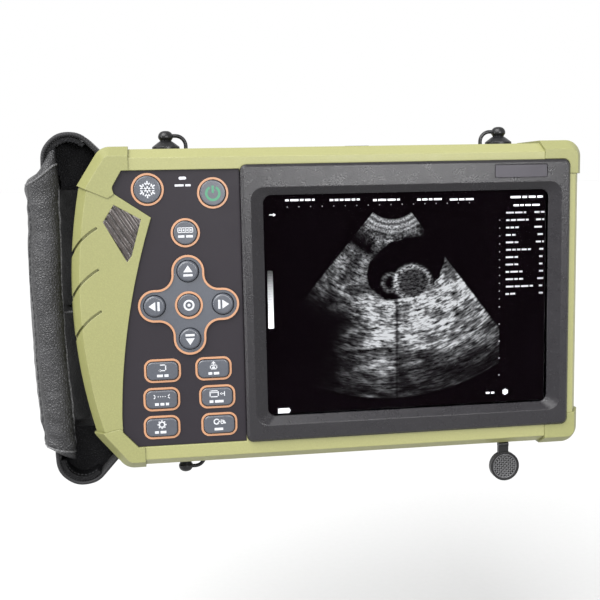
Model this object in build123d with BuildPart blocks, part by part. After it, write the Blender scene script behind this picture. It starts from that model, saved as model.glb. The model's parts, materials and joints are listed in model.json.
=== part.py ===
from build123d import *
import os
from math import acos, atan2, cos, degrees, hypot, radians, sin, tan

os.makedirs("parts", exist_ok=True)

# Hand-held veterinary ultrasound scanner, millimetres.
# The screen faces -Y, +X is to the right of someone looking at it, and +Z is up.
# The origin is on the left edge of the case, half way up and half way through its thickness.

# Case
CASE_RIGHT = 204.0
CASE_TOP = 61.9
CASE_BOTTOM = -61.5
CASE_CORNER = 5.5
CASE_BACK = 18.0
CASE_FRONT = -16.0
BEVEL_START = -10.0
BEVEL_ANGLE = 30.0
BACK_CHAMFER = 3.5
SPLIT_Y = -7.5
WALL = 3.2
FRONT_WALL = 4.5
BACK_WALL = 4.0
TOP_LEFT_CUT = ((4.2, 47.5), (13.5, 61.9))
BOTTOM_LEFT_CUT = ((7.0, -47.5), (18.5, -61.5))
SEAL_INSET = 1.6
SEAL_WIDTH = 1.0
SEAL_DEPTH = 1.2
GRIP_SLOPE = ((-4.0, -4.0), (-4.0, 22.0), (15.5, 22.0), (0.0, -1.0))

# Rubber corner guards
GUARD_PROUD = 1.1
GUARD_INSET = 1.0
GUARD_FRONT = 0.35
TOP_LEFT_GUARD = ((-6, 52.6), (15.1, 43.6), (16.9, 44.6), (23.3, 50), (23.3, 70), (-6, 70))
BOTTOM_LEFT_GUARD = ((-6, -50.2), (16.0, -45.3), (25.4, -50), (25.4, -70), (-6, -70))
TOP_RIGHT_GUARD = ((187.6, 50), (210, 49.4), (210, 70), (187.6, 70))
BOTTOM_RIGHT_GUARD = ((188.6, -50), (210, -47.8), (210, -70), (188.6, -70))

# Grip cover on the left of the case
GRIP_THICK = 2.0
GRIP_RIGHT = 36.0
GRIP_HALF = 50.0
GROOVE_STARTS = ((10.8, 32.6), (10.8, 16.9), (11.2, 1.0))
GROOVE_RUN = (-12.0, -14.5)
GROOVE_BULGE = (-7.3, -5.9)
GROOVE_WIDTH = 0.9
GROOVE_DEPTH = 0.9
RIB_CORNERS = ((17.3, 41.1), (27.3, 35.4), (23.3, 21.7), (21.5, 19.3), (13.1, 34.7))
RIB_MIDDLE = (20.4, 30.2)
RIB_ANGLE = -58.0
RIB_COUNT = 9
RIB_PITCH = 2.15
RIB_GROOVE = 0.8

# Screen
SCREEN_X = 131.6
OPENING = (115.5, 87.0)
OPENING_CORNER = 3.2
BEZEL_LEFT = 65.2
BEZEL_RIGHT = 197.8
BEZEL_BOTTOM = -53.1
BEZEL_TOP = 55.3
BEZEL_FRONT = -18.0
BEZEL_BACK = -13.0
BEZEL_CORNER = 2.6
BEZEL_EDGE = 1.0
SLOPE_BACK = -15.6
SLOPE_GROWTH = (-5.0, 4.8, -3.1, 3.1)
GLASS_SIZE = (118.5, 90.0)
GLASS_FRONT = -15.1
GLASS_THICK = 1.5
DISPLAY_FRONT = -12.9
DISPLAY_BACK = -6.4
DISPLAY_SIZE = (122.0, 94.0)
LEDGE = 3.0
BADGE_CENTRE = (177.0, 50.9)
BADGE_SIZE = (21.8, 5.2)
BADGE_DEPTH = 0.6

# Keypad
PLATE_FRONT = -15.2
PLATE_BACK = -13.0
PLATE_GAP = 0.05
PLATE_LEDGE = 0.8
DPAD_CENTRE = (44.2, 2.1)
DPAD_REACH = 13.1
DPAD_LOBE = 6.3
DPAD_FRONT = -15.8
RING_WIDTH = 0.8
RING_HEIGHT = 0.35
KEY_GAP = 0.25
KEY_FLANGE = 0.55
FLANGE_FRONT = -12.9
FLANGE_BACK = -12.3
ROUND_KEYS = {
    "freeze_button": (30.1, 46.6, 5.1),
    "power_button": (54.7, 44.8, 4.9),
    "cine_button": (43.8, 29.9, 4.5),
}
PAD_KEYS = {
    "up_button": (0, 1),
    "left_button": (-1, 0),
    "right_button": (1, 0),
    "down_button": (0, -1),
}
PAD_KEY_RADIUS = 4.1
OK_RADIUS = 4.3
BLOCK_KEYS = {
    "exit_button": (33.2, -23.2),
    "save_button": (52.9, -23.2),
    "measure_button": (32.5, -34.4),
    "review_button": (54.0, -34.4),
    "setup_button": (32.2, -45.5),
    "obstetric_button": (54.5, -45.5),
}
BLOCK_KEY_SIZE = (12.0, 7.1)
BLOCK_KEY_CORNER = 2.2
BLOCK_KEY_FRONT = -16.2
ROUND_KEY_FRONT = -16.0
PAD_KEY_FRONT = -16.9
OK_FRONT = -16.4
LED_CENTRE = (43.4, 50.6)
LED_SIZE = (3.0, 1.3)

# Ports: name, x, y, direction (+1 opens upwards, -1 downwards), side of the cap's tether
PORTS = {
    "power_socket": (37.8, 2.0, 1, 1),
    "video_socket": (174.5, 2.0, 1, -1),
    "usb_socket": (41.2, 2.0, -1, 1),
}
CAP_NAMES = {
    "power_socket": "power_socket_cap",
    "video_socket": "video_socket_cap",
    "usb_socket": "usb_socket_cap",
}
SOCKET_OUTER = 5.4
SOCKET_BORE = 4.0
SOCKET_DEPTH = 9.0
SOCKET_BORE_DEPTH = 7.0
PLUG_RADIUS = 3.6
PLUG_LENGTH = 6.0
CAP_FLANGE = 5.4
CAP_SEAT = 0.15
PLUG_TIP = (0.6, 0.8)
CAP_RIM = 1.0
CAP_SHOULDER = (3.1, 2.9)
CAP_WAIST = (2.2, 3.5)
CAP_HEAD_START = (2.9, 4.6)
CAP_HEAD_SIDE = (2.4, 6.5)
CAP_HEIGHT = 7.3
TETHER_REACH = 7.8
TETHER_BEND = 4.0
TETHER_HEIGHT = 5.4
TETHER_RADIUS = 0.75
TAIL_HOLE = 1.1
TAIL_LENGTH = 9.0
PROBE_X = 174.8
PROBE_Y = 4.5
PROBE_BORE = 5.5
PROBE_OUTER = 7.6
PROBE_DEPTH = 10.0
PROBE_BORE_DEPTH = 8.0
HINGE_Y = -4.85
HINGE_Z = -63.8
HINGE_RADIUS = 1.2
NECK_THICK = 1.8
NECK_LENGTH = 5.0
CAP_DISC_RADIUS = 6.2
CAP_DISC_THICK = 2.2
CAP_DISC_SHIFT = 0.5
CAP_RIM_SIZE = (0.8, 0.4)
CAP_PLUG = (4.6, 3.2, 3.0)
SOCKET_PROUD = 0.4
NECK_WIDTH = 4.3
ANCHOR_THICK = 2.4

# Strap
BARS = {"strap_bar_upper": (15.0, 53.5), "strap_bar_lower": (17.2, -50.8)}
BAR_RADIUS = 2.0
BAR_FRONT = -11.5
BAR_BACK = 16.5
LUG_FRONT = 14.6
LUG_RADIUS = 4.2
NOTCH_CLEAR = 5.3
LOOP_RADIUS = 9.9
LOOP_CENTRES = {1: (1.0, 58.2), -1: (1.0, -58.8)}
WEBBING_THICK = 2.0
WEBBING_FRONT = -7.0
WEBBING_BACK = 14.0
EYE_GAP = 0.2
LINER_THICK = 1.6
LINER_GAP = 0.25
WEB_FRONT = 2.0
WEB_BACK = 13.6
WEB_CORNERS = {
    1: ((8.2, 55.6), (2.8, 47.0), (-3.2, 47.0), (-3.2, 52.7)),
    -1: ((9.4, -54.8), (5.4, -47.6), (-3.2, -47.6), (-3.2, -55.7)),
}
PAD_TOP = 52.5
PAD_BOTTOM = -55.5
PAD_SLOT = 3.2
# Section of the padded sleeve, as arcs that follow on: outer face, back tip, inner face, rolled front edge
PAD_ARCS = (
    ((-14.6, -8.5), (-16.6, 10.0), (-9.0, 31.0)),
    ((-9.0, 31.0), (-2.6, 33.2), (2.2, 27.4)),
    ((2.2, 27.4), (-4.6, 10.0), (-3.2, -8.5)),
    ((-3.2, -8.5), (-9.0, -13.0), (-14.6, -8.5)),
)

# Inside
BOSSES = ((60, 54.3), (120, 54.3), (190, 53.6), (60, -54.3), (120, -54.3), (190, -53.6))
BOSS_RADIUS = 3.4
SCREW_RADIUS = 1.5
HEAD_RADIUS = 2.7
HEAD_HEIGHT = 2.2
HEAD_SINK = 2.6
BATTERY_CENTRE = (118.0, 2.0)
BATTERY_SIZE = (80.0, 52.0)
BATTERY_FRONT = 2.5
BATTERY_BACK = 15.6
COVER_SIZE = (96.0, 62.0)
COVER_THICK = 2.2
COVER_HEAD_SINK = 1.2
LABEL_SIZE = (60.0, 30.0)
LABEL_THICK = 0.4
MAT_FRONT = -11.2
MAT_BACK = -9.8
MAT_INSET = 3.6
BOARD_THICK = 1.6
MAIN_BOARD_BACK = -3.6
MICROPHONE_PLACE = (112.3, -9.2)
MICROPHONE_SIZE = (9.7, 1.3)
GRILLE_CENTRE = (44.0, 24.0)
GRILLE_PITCH = 2.6
GRILLE_ROWS = 5
GRILLE_RADIUS = 0.8
COVER_CORNER = 4.0
COVER_SCREWS = 89.6
COVER_SCREW_DEPTH = 9.0
COVER_BOSS_HEIGHT = 8.0
COVER_GAP = 0.15
VENT_SLOT = (34.0, 1.2)
VENT_PITCH = 2.6
VENT_DROP = 21.0
LABEL_RISE = 4.0
LABEL_CORNER = 1.5
BATTERY_GAP = 0.5
SCREW_GAP = 0.05
HEAD_GAP = 0.15
SCREW_BITE = 2.5
HEX_RADIUS = 1.4
HEX_DEPTH = 1.2
COVER_HEX_RADIUS = 1.2
BAR_BOSS_WALL = 2.4
LUG_SINK = 0.5
LUG_ROOT = 9.0
MICROPHONE_SINK = 1.6
DISPLAY_POCKET = (30.0, 18.0)
DISPLAY_POCKET_PLACE = (30.0, -20.0)
SPEAKER_RADIUS = 10.0
SPEAKER_RIM = 3.0
SPEAKER_GAP = 0.2
MAGNET_RADIUS = 6.0
MAGNET_HEIGHT = 2.4

# Boards: size, centre, and chips as size to places
MAIN_BOARD_SIZE = (104.0, 88.0)
MAIN_BOARD_CENTRE = (118.0, 0.0)
MAIN_BOARD_HOLES = (94.0, 78.0)
MAIN_BOARD_HOLE_RADIUS = 1.6
MAIN_CHIP_HEIGHT = 1.8
MAIN_CHIPS = {
    (15, 15): ((90, 30), (146, 30)),
    (22, 18): ((118, 30),),
    (9, 14): ((90, -32), (104, -32), (118, -32), (132, -32)),
}
PROBE_BOARD_SIZE = (30.0, 84.0)
PROBE_BOARD_CENTRE = (182.0, 0.0)
PROBE_BOARD_BACK = 5.0
PROBE_CHIP_HEIGHT = 3.0
PROBE_CHIPS = {(16, 16): ((182, -24), (182, 0), (182, 24))}
KEYPAD_CHIP_HEIGHT = 1.4
KEYPAD_CHIPS = {(5, 14): ((52, -20), (52, 12)), (9, 9): ((36, -4),)}

# Larger than the case, for cutting it in two
HALF_SPACE = (600.0, 400.0)
# The left end of the back half that stays solid, for the lugs and notches
SOLID_END = (30.0, 300.0)


def depth_plane(y):
    """The upright plane at depth y, seen from the front: local x is X and local y is Z."""
    return Plane.XZ.offset(-y)


def chips(places_by_size):
    """Oblong chips in the sketch that is open, from their sizes and places."""
    for size, places in places_by_size.items():
        with Locations(*places):
            Rectangle(*size)


def unit(start, end):
    """The unit vector from start to end."""
    length = hypot(end[0] - start[0], end[1] - start[1])
    return ((end[0] - start[0]) / length, (end[1] - start[1]) / length)


# Outline of the case from the front
with BuildSketch() as case_outline:
    with BuildLine():
        Polyline(
            TOP_LEFT_CUT[0],
            TOP_LEFT_CUT[1],
            (CASE_RIGHT, CASE_TOP),
            (CASE_RIGHT, CASE_BOTTOM),
            BOTTOM_LEFT_CUT[1],
            BOTTOM_LEFT_CUT[0],
        )
        ThreePointArc(BOTTOM_LEFT_CUT[0], (0, 0), TOP_LEFT_CUT[0])
    make_face()
    fillet(case_outline.vertices(), radius=CASE_CORNER)

# Outline of the keypad plate, with the sharp cusp of the grip cover biting into its left side
with BuildSketch() as plate_outline:
    with BuildLine():
        Polyline((17.2, -40.0), (17.2, -46.6), (23.0, -52.9), (65.1, -52.9), (65.1, 53.8), (20.6, 53.8))
        Polyline((20.6, 53.8), (16.9, 47.6), (17.6, 45.2), (31.1, 36.0))
        ThreePointArc((31.1, 36.0), (21.9, 1.0), (17.2, -40.0))
    make_face()
    fillet(plate_outline.vertices().group_by(Axis.X)[0], radius=2.0)

# Outline of the direction pad: four round lobes joined by hollow curves
with BuildSketch() as dpad_outline:
    with Locations(DPAD_CENTRE):
        with PolarLocations(DPAD_REACH, 4):
            Circle(DPAD_LOBE)
        Rectangle(2 * DPAD_REACH, 2 * DPAD_LOBE)
        Rectangle(2 * DPAD_LOBE, 2 * DPAD_REACH)
    inner_corners = dpad_outline.vertices().sort_by_distance((DPAD_CENTRE[0], DPAD_CENTRE[1], 0))[:4]
    fillet(inner_corners, radius=5.5)

with BuildSketch() as dpad_inner:
    add(dpad_outline.sketch)
    offset(amount=-PLATE_GAP - RING_WIDTH)

# Middle and size of the screen bezel
BEZEL_CENTRE = ((BEZEL_LEFT + BEZEL_RIGHT) / 2, (BEZEL_BOTTOM + BEZEL_TOP) / 2)
BEZEL_SIZE = (BEZEL_RIGHT - BEZEL_LEFT, BEZEL_TOP - BEZEL_BOTTOM)


def case_form(grow, front_y):
    """The solid outer shape of the case, moved outwards by grow, with its front face at front_y."""
    with BuildPart() as form:
        with BuildSketch(depth_plane(CASE_BACK)):
            add(case_outline.sketch)
            if grow:
                offset(amount=grow)
        extrude(amount=CASE_BACK - BEVEL_START)
        chamfer(form.faces().sort_by(Axis.Y)[-1].edges(), length=BACK_CHAMFER)
        with BuildSketch(depth_plane(BEVEL_START)):
            add(case_outline.sketch)
            if grow:
                offset(amount=grow)
        with BuildSketch(depth_plane(front_y)):
            add(case_outline.sketch)
            offset(amount=grow - (BEVEL_START - front_y) * tan(radians(BEVEL_ANGLE)))
        loft(ruled=True)
        with BuildSketch(Plane.XY):
            Polygon(*GRIP_SLOPE, align=None)
        extrude(amount=CASE_RIGHT / 2, both=True, mode=Mode.SUBTRACT)
    return form.part


def corner_block(corners, front_y, back_y):
    """An upright block over one corner of the case."""
    with BuildPart() as block:
        with BuildSketch(depth_plane(back_y)):
            Polygon(*corners, align=None)
        extrude(amount=back_y - front_y)
    return block.part


def notch_corners(cut, bar, side):
    """Corners of the space cut from the back half of the case so that the strap can reach its bar."""
    along = unit(cut[0], cut[1])
    inward = (side * along[1], -side * along[0])
    foot = (bar[0] + NOTCH_CLEAR * inward[0], bar[1] + NOTCH_CLEAR * inward[1])
    near = (foot[0] + 24 * along[0], foot[1] + 24 * along[1])
    far = (foot[0] - 44 * along[0], foot[1] - 44 * along[1])
    outside = (-30 * inward[0], -30 * inward[1])
    far_out = (far[0] + outside[0], far[1] + outside[1])
    near_out = (near[0] + outside[0], near[1] + outside[1])
    return (near, far, far_out, near_out)


def finger_groove(start):
    """The cut for one finger groove: a narrow curve over the front, the bevel and the side of the grip."""
    bulge = (start[0] + GROOVE_BULGE[0], start[1] + GROOVE_BULGE[1])
    end = (start[0] + GROOVE_RUN[0], start[1] + GROOVE_RUN[1])
    with BuildPart() as groove:
        with BuildSketch(depth_plane(SPLIT_Y)):
            with BuildLine():
                ThreePointArc(start, bulge, end)
            trace(line_width=GROOVE_WIDTH)
        extrude(amount=SPLIT_Y - CASE_FRONT + 1)
        add(groove_floor, mode=Mode.SUBTRACT)
    return groove.part


case_solid = case_form(0, CASE_FRONT)
guard_outer = case_form(GUARD_PROUD, CASE_FRONT - GUARD_FRONT)
guard_inner = case_form(-GUARD_INSET, CASE_FRONT + GUARD_INSET)
grip_inner = case_form(-GRIP_THICK, CASE_FRONT + GRIP_THICK)
groove_floor = case_form(-GROOVE_DEPTH, CASE_FRONT + GROOVE_DEPTH)
guard_blocks = {
    "bumper_top_left": corner_block(TOP_LEFT_GUARD, -20, SPLIT_Y),
    "bumper_bottom_left": corner_block(BOTTOM_LEFT_GUARD, -20, SPLIT_Y),
    "bumper_top_right": corner_block(TOP_RIGHT_GUARD, -20, 22),
    "bumper_bottom_right": corner_block(BOTTOM_RIGHT_GUARD, -20, 22),
}

# Outline of the back half, with a notch at each left corner for the strap
with BuildSketch() as rear_outline:
    add(case_outline.sketch)
    Polygon(*notch_corners(TOP_LEFT_CUT, BARS["strap_bar_upper"], 1), align=None, mode=Mode.SUBTRACT)
    Polygon(*notch_corners(BOTTOM_LEFT_CUT, BARS["strap_bar_lower"], -1), align=None, mode=Mode.SUBTRACT)

# Everything outside the back half's outline
with BuildPart() as notch_space:
    with BuildSketch(depth_plane(CASE_BACK + 1)):
        Rectangle(*HALF_SPACE)
        add(rear_outline.sketch, mode=Mode.SUBTRACT)
    extrude(amount=CASE_BACK + 1 - SPLIT_Y)

# The pocket that the keypad plate and the bezel drop into
with BuildPart() as front_pockets:
    with BuildSketch(depth_plane(PLATE_BACK)):
        add(plate_outline.sketch)
        offset(amount=PLATE_GAP)
    extrude(amount=8)
    with BuildSketch(depth_plane(CASE_FRONT + FRONT_WALL)):
        add(plate_outline.sketch)
        offset(amount=-PLATE_LEDGE)
    extrude(amount=8)
    with BuildSketch(depth_plane(BEZEL_BACK)):
        with Locations(BEZEL_CENTRE):
            RectangleRounded(BEZEL_SIZE[0] + 2 * PLATE_GAP, BEZEL_SIZE[1] + 2 * PLATE_GAP, BEZEL_CORNER)
    extrude(amount=8)
    with BuildSketch(depth_plane(CASE_FRONT + FRONT_WALL)):
        with Locations(BEZEL_CENTRE):
            Rectangle(BEZEL_SIZE[0] - 2 * LEDGE, BEZEL_SIZE[1] - 2 * LEDGE)
    extrude(amount=8)

# The part of the case that the grip cover takes up: left of the keypad, between the two left guards
with BuildPart() as grip_region:
    with BuildSketch(depth_plane(SPLIT_Y)):
        with Locations((-6, 0)):
            Rectangle(GRIP_RIGHT + 6, 2 * GRIP_HALF, align=(Align.MIN, Align.CENTER))
    extrude(amount=20)
    add(guard_blocks["bumper_top_left"], mode=Mode.SUBTRACT)
    add(guard_blocks["bumper_bottom_left"], mode=Mode.SUBTRACT)

# What the case gives up to the guards and to the grip cover
with BuildPart() as guard_space:
    for block in guard_blocks.values():
        add(block)
    add(guard_inner, mode=Mode.SUBTRACT)
with BuildPart() as grip_space:
    add(grip_region.part)
    add(grip_inner, mode=Mode.SUBTRACT)


# Front half of the case
with BuildPart() as front_case:
    add(case_solid)
    with BuildSketch(depth_plane(CASE_BACK + 1)):
        Rectangle(*HALF_SPACE)
    extrude(amount=CASE_BACK + 1 - SPLIT_Y, mode=Mode.SUBTRACT)
    with BuildSketch(depth_plane(SPLIT_Y)):
        add(case_outline.sketch)
        offset(amount=-WALL)
    extrude(amount=SPLIT_Y - CASE_FRONT - FRONT_WALL, mode=Mode.SUBTRACT)
    with BuildSketch(depth_plane(SPLIT_Y)):
        with Locations(*BOSSES):
            Circle(BOSS_RADIUS)
        with Locations(*BARS.values()):
            Circle(BAR_RADIUS + BAR_BOSS_WALL)
    extrude(amount=SPLIT_Y - CASE_FRONT - FRONT_WALL)
    add(guard_space.part, mode=Mode.SUBTRACT)
    add(grip_space.part, mode=Mode.SUBTRACT)
    add(front_pockets.part, mode=Mode.SUBTRACT)
    with BuildSketch(depth_plane(SPLIT_Y)):
        with Locations(*BOSSES):
            Circle(SCREW_RADIUS)
    extrude(amount=SCREW_BITE, mode=Mode.SUBTRACT)
    with BuildSketch(depth_plane(SPLIT_Y)):
        with Locations(*BARS.values()):
            Circle(BAR_RADIUS)
    extrude(amount=SPLIT_Y - BAR_FRONT, mode=Mode.SUBTRACT)
    with BuildSketch(Plane.XY.offset(CASE_TOP - MICROPHONE_SINK)):
        with Locations(MICROPHONE_PLACE):
            SlotOverall(*MICROPHONE_SIZE)
    extrude(amount=2, mode=Mode.SUBTRACT)
front_case.part.label = "front_case"
export_step(front_case.part, "parts/front_case.step")

# Where each strap bar's lug grows from the case
LUGS = []
for cut, bar, side in (
    (TOP_LEFT_CUT, BARS["strap_bar_upper"], 1),
    (BOTTOM_LEFT_CUT, BARS["strap_bar_lower"], -1),
):
    along = unit(cut[0], cut[1])
    LUGS.append((bar, (bar[0] + LUG_ROOT * side * along[1], bar[1] - LUG_ROOT * side * along[0])))

# Path of the seal between the two halves
with BuildSketch() as seal_inside:
    add(rear_outline.sketch)
    offset(amount=-SEAL_INSET - SEAL_WIDTH)
with BuildSketch() as seal_outline:
    add(rear_outline.sketch)
    offset(amount=-SEAL_INSET)
    add(seal_inside.sketch, mode=Mode.SUBTRACT)

# Back half of the case
PORT_ROWS = tuple(PORTS.values())
with BuildPart() as rear_case:
    add(case_solid)
    with BuildSketch(depth_plane(SPLIT_Y)):
        Rectangle(*HALF_SPACE)
    extrude(amount=20, mode=Mode.SUBTRACT)
    add(notch_space.part, mode=Mode.SUBTRACT)
    with BuildSketch(depth_plane(CASE_BACK - BACK_WALL)):
        add(rear_outline.sketch)
        offset(amount=-WALL)
        Rectangle(*SOLID_END, mode=Mode.SUBTRACT)
    extrude(amount=CASE_BACK - BACK_WALL - SPLIT_Y, mode=Mode.SUBTRACT)
    # Screw bosses, and the two that hold the battery cover
    with BuildSketch(depth_plane(CASE_BACK - BACK_WALL)):
        with Locations(*BOSSES):
            Circle(BOSS_RADIUS)
    extrude(amount=CASE_BACK - BACK_WALL - SPLIT_Y)
    with BuildSketch(depth_plane(CASE_BACK - BACK_WALL)):
        with Locations(BATTERY_CENTRE):
            with GridLocations(COVER_SCREWS, 1, 2, 1):
                Circle(BOSS_RADIUS)
    extrude(amount=COVER_BOSS_HEIGHT)
    # Lugs that hold the back ends of the strap bars
    with BuildSketch(depth_plane(CASE_BACK - LUG_SINK)):
        for bar, root in LUGS:
            make_hull([Edge.make_circle(LUG_RADIUS, Plane((*end, 0))) for end in (bar, root)])
    extrude(amount=CASE_BACK - LUG_SINK - LUG_FRONT)
    add(guard_space.part, mode=Mode.SUBTRACT)
    with BuildSketch(depth_plane(BAR_BACK)):
        with Locations(*BARS.values()):
            Circle(BAR_RADIUS)
    extrude(amount=10, mode=Mode.SUBTRACT)
    # Groove for the seal
    with BuildSketch(depth_plane(SPLIT_Y + SEAL_DEPTH)):
        add(seal_outline.sketch)
    extrude(amount=SEAL_DEPTH, mode=Mode.SUBTRACT)
    # Screw holes from the back
    with Locations(Plane((0, CASE_BACK, 0), x_dir=(1, 0, 0), z_dir=(0, 1, 0))):
        with Locations(*[(x, -z) for x, z in BOSSES]):
            CounterBoreHole(
                SCREW_RADIUS + SCREW_GAP, HEAD_RADIUS + HEAD_GAP, HEAD_SINK, depth=CASE_BACK - SPLIT_Y + 1
            )
    # Recess, opening and screw holes of the battery cover
    with BuildSketch(depth_plane(CASE_BACK)):
        with Locations(BATTERY_CENTRE):
            RectangleRounded(*COVER_SIZE, COVER_CORNER)
    extrude(amount=COVER_THICK, mode=Mode.SUBTRACT)
    with BuildSketch(depth_plane(CASE_BACK)):
        with Locations(BATTERY_CENTRE):
            Rectangle(BATTERY_SIZE[0] + 2 * BATTERY_GAP, BATTERY_SIZE[1] + 2 * BATTERY_GAP)
    extrude(amount=BACK_WALL + 1, mode=Mode.SUBTRACT)
    with BuildSketch(depth_plane(CASE_BACK)):
        with Locations(BATTERY_CENTRE):
            with GridLocations(COVER_SCREWS, 1, 2, 1):
                Circle(SCREW_RADIUS + SCREW_GAP)
    extrude(amount=COVER_SCREW_DEPTH, mode=Mode.SUBTRACT)
    # Speaker grille
    with BuildSketch(depth_plane(CASE_BACK)):
        with Locations(GRILLE_CENTRE):
            with GridLocations(GRILLE_PITCH, GRILLE_PITCH, GRILLE_ROWS, GRILLE_ROWS):
                Circle(GRILLE_RADIUS)
    extrude(amount=BACK_WALL + 1, mode=Mode.SUBTRACT)
    # Port holes, tether holes and the probe port's hole
    for x, y, way, side in PORT_ROWS:
        with BuildSketch(Plane.XY.offset(way * (CASE_TOP + 2))):
            with Locations((x, y)):
                Circle(SOCKET_BORE + 0.2)
            with Locations((x + side * TETHER_REACH, y)):
                Circle(TAIL_HOLE)
        extrude(amount=-way * (WALL + 3), mode=Mode.SUBTRACT)
    with BuildSketch(Plane.XY.offset(CASE_BOTTOM - 1)):
        with Locations((PROBE_X, PROBE_Y)):
            Circle(PROBE_OUTER)
        with Locations((PROBE_X, HINGE_Y)):
            Rectangle(NECK_WIDTH, ANCHOR_THICK)
    extrude(amount=WALL + 1.5, mode=Mode.SUBTRACT)
rear_case.part.label = "rear_case"
export_step(rear_case.part, "parts/rear_case.step")

# Seal between the two halves
with BuildPart() as case_seal:
    with BuildSketch(depth_plane(SPLIT_Y + SEAL_DEPTH)):
        add(seal_outline.sketch)
    extrude(amount=SEAL_DEPTH)
case_seal.part.label = "case_seal"
export_step(case_seal.part, "parts/case_seal.step")

# Rubber corner guards
for name, block in guard_blocks.items():
    with BuildPart() as bumper:
        add(guard_outer)
        add(guard_inner, mode=Mode.SUBTRACT)
        add(block, mode=Mode.INTERSECT)
        add(front_pockets.part, mode=Mode.SUBTRACT)
        with BuildSketch(depth_plane(BEZEL_BACK)):
            with Locations(BEZEL_CENTRE):
                RectangleRounded(BEZEL_SIZE[0] + 0.4, BEZEL_SIZE[1] + 0.4, BEZEL_CORNER)
        extrude(amount=10, mode=Mode.SUBTRACT)
    bumper.part.label = name
    export_step(bumper.part, f"parts/{name}.step")

# Grip cover with three finger grooves and a kite-shaped window for the ribbed insert
with BuildPart() as grip_cover:
    add(case_solid)
    add(grip_inner, mode=Mode.SUBTRACT)
    add(grip_region.part, mode=Mode.INTERSECT)
    add(front_pockets.part, mode=Mode.SUBTRACT)
    for start in GROOVE_STARTS:
        add(finger_groove(start), mode=Mode.SUBTRACT)
    with BuildSketch(depth_plane(CASE_FRONT + GRIP_THICK)):
        Polygon(*RIB_CORNERS, align=None)
    extrude(amount=4, mode=Mode.SUBTRACT)
grip_cover.part.label = "grip_cover"
export_step(grip_cover.part, "parts/grip_cover.step")

# Ribbed insert of the grip, with slanting ribs
with BuildPart() as ribbed_insert:
    with BuildSketch(depth_plane(CASE_FRONT + GRIP_THICK)):
        Polygon(*RIB_CORNERS, align=None)
        offset(amount=-PLATE_GAP)
    extrude(amount=GRIP_THICK)
    with BuildSketch(depth_plane(CASE_FRONT)):
        with Locations(Location((*RIB_MIDDLE, 0), (0, 0, RIB_ANGLE))):
            with GridLocations(1, RIB_PITCH, 1, RIB_COUNT):
                Rectangle(60, RIB_GROOVE)
    extrude(amount=-GRIP_THICK / 2, mode=Mode.SUBTRACT)
ribbed_insert.part.label = "ribbed_insert"
export_step(ribbed_insert.part, "parts/ribbed_insert.step")

# Keypad plate with a hole for each key
with BuildPart() as keypad_plate:
    with BuildSketch(depth_plane(PLATE_BACK)):
        add(plate_outline.sketch)
        for x, z, radius in ROUND_KEYS.values():
            with Locations((x, z)):
                Circle(radius + KEY_GAP, mode=Mode.SUBTRACT)
        with Locations(*BLOCK_KEYS.values()):
            RectangleRounded(
                BLOCK_KEY_SIZE[0] + 2 * KEY_GAP,
                BLOCK_KEY_SIZE[1] + 2 * KEY_GAP,
                BLOCK_KEY_CORNER + KEY_GAP,
                mode=Mode.SUBTRACT,
            )
        add(dpad_outline.sketch, mode=Mode.SUBTRACT)
        with Locations(LED_CENTRE):
            SlotOverall(*LED_SIZE, mode=Mode.SUBTRACT)
    extrude(amount=PLATE_BACK - PLATE_FRONT)
keypad_plate.part.label = "keypad_plate"
export_step(keypad_plate.part, "parts/keypad_plate.step")

# Direction pad plate
PAD_PLACES = [
    (DPAD_CENTRE[0] + dx * DPAD_REACH, DPAD_CENTRE[1] + dz * DPAD_REACH) for dx, dz in PAD_KEYS.values()
]
with BuildPart() as dpad_plate:
    with BuildSketch(depth_plane(PLATE_BACK)):
        add(dpad_outline.sketch)
        offset(amount=-PLATE_GAP)
        with Locations(*PAD_PLACES):
            Circle(PAD_KEY_RADIUS + KEY_GAP, mode=Mode.SUBTRACT)
        with Locations(DPAD_CENTRE):
            Circle(OK_RADIUS + KEY_GAP, mode=Mode.SUBTRACT)
    extrude(amount=PLATE_BACK - DPAD_FRONT)
dpad_plate.part.label = "dpad_plate"
export_step(dpad_plate.part, "parts/dpad_plate.step")

# Raised coloured rings round the keys and round the direction pad
with BuildPart() as key_rings:
    with BuildSketch(depth_plane(PLATE_FRONT)):
        for x, z, radius in ROUND_KEYS.values():
            with Locations((x, z)):
                Circle(radius + KEY_GAP + RING_WIDTH)
                Circle(radius + KEY_GAP, mode=Mode.SUBTRACT)
        with Locations(*BLOCK_KEYS.values()):
            RectangleRounded(
                BLOCK_KEY_SIZE[0] + 2 * (KEY_GAP + RING_WIDTH),
                BLOCK_KEY_SIZE[1] + 2 * (KEY_GAP + RING_WIDTH),
                BLOCK_KEY_CORNER + KEY_GAP + RING_WIDTH,
            )
            RectangleRounded(
                BLOCK_KEY_SIZE[0] + 2 * KEY_GAP,
                BLOCK_KEY_SIZE[1] + 2 * KEY_GAP,
                BLOCK_KEY_CORNER + KEY_GAP,
                mode=Mode.SUBTRACT,
            )
    extrude(amount=RING_HEIGHT)
    with BuildSketch(depth_plane(DPAD_FRONT)):
        add(dpad_outline.sketch)
        offset(amount=-PLATE_GAP)
        add(dpad_inner.sketch, mode=Mode.SUBTRACT)
        with Locations(DPAD_CENTRE):
            Circle(OK_RADIUS + KEY_GAP + RING_WIDTH)
            Circle(OK_RADIUS + KEY_GAP, mode=Mode.SUBTRACT)
    extrude(amount=RING_HEIGHT)
key_rings.part.label = "key_rings"
export_step(key_rings.part, "parts/key_rings.step")


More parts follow.
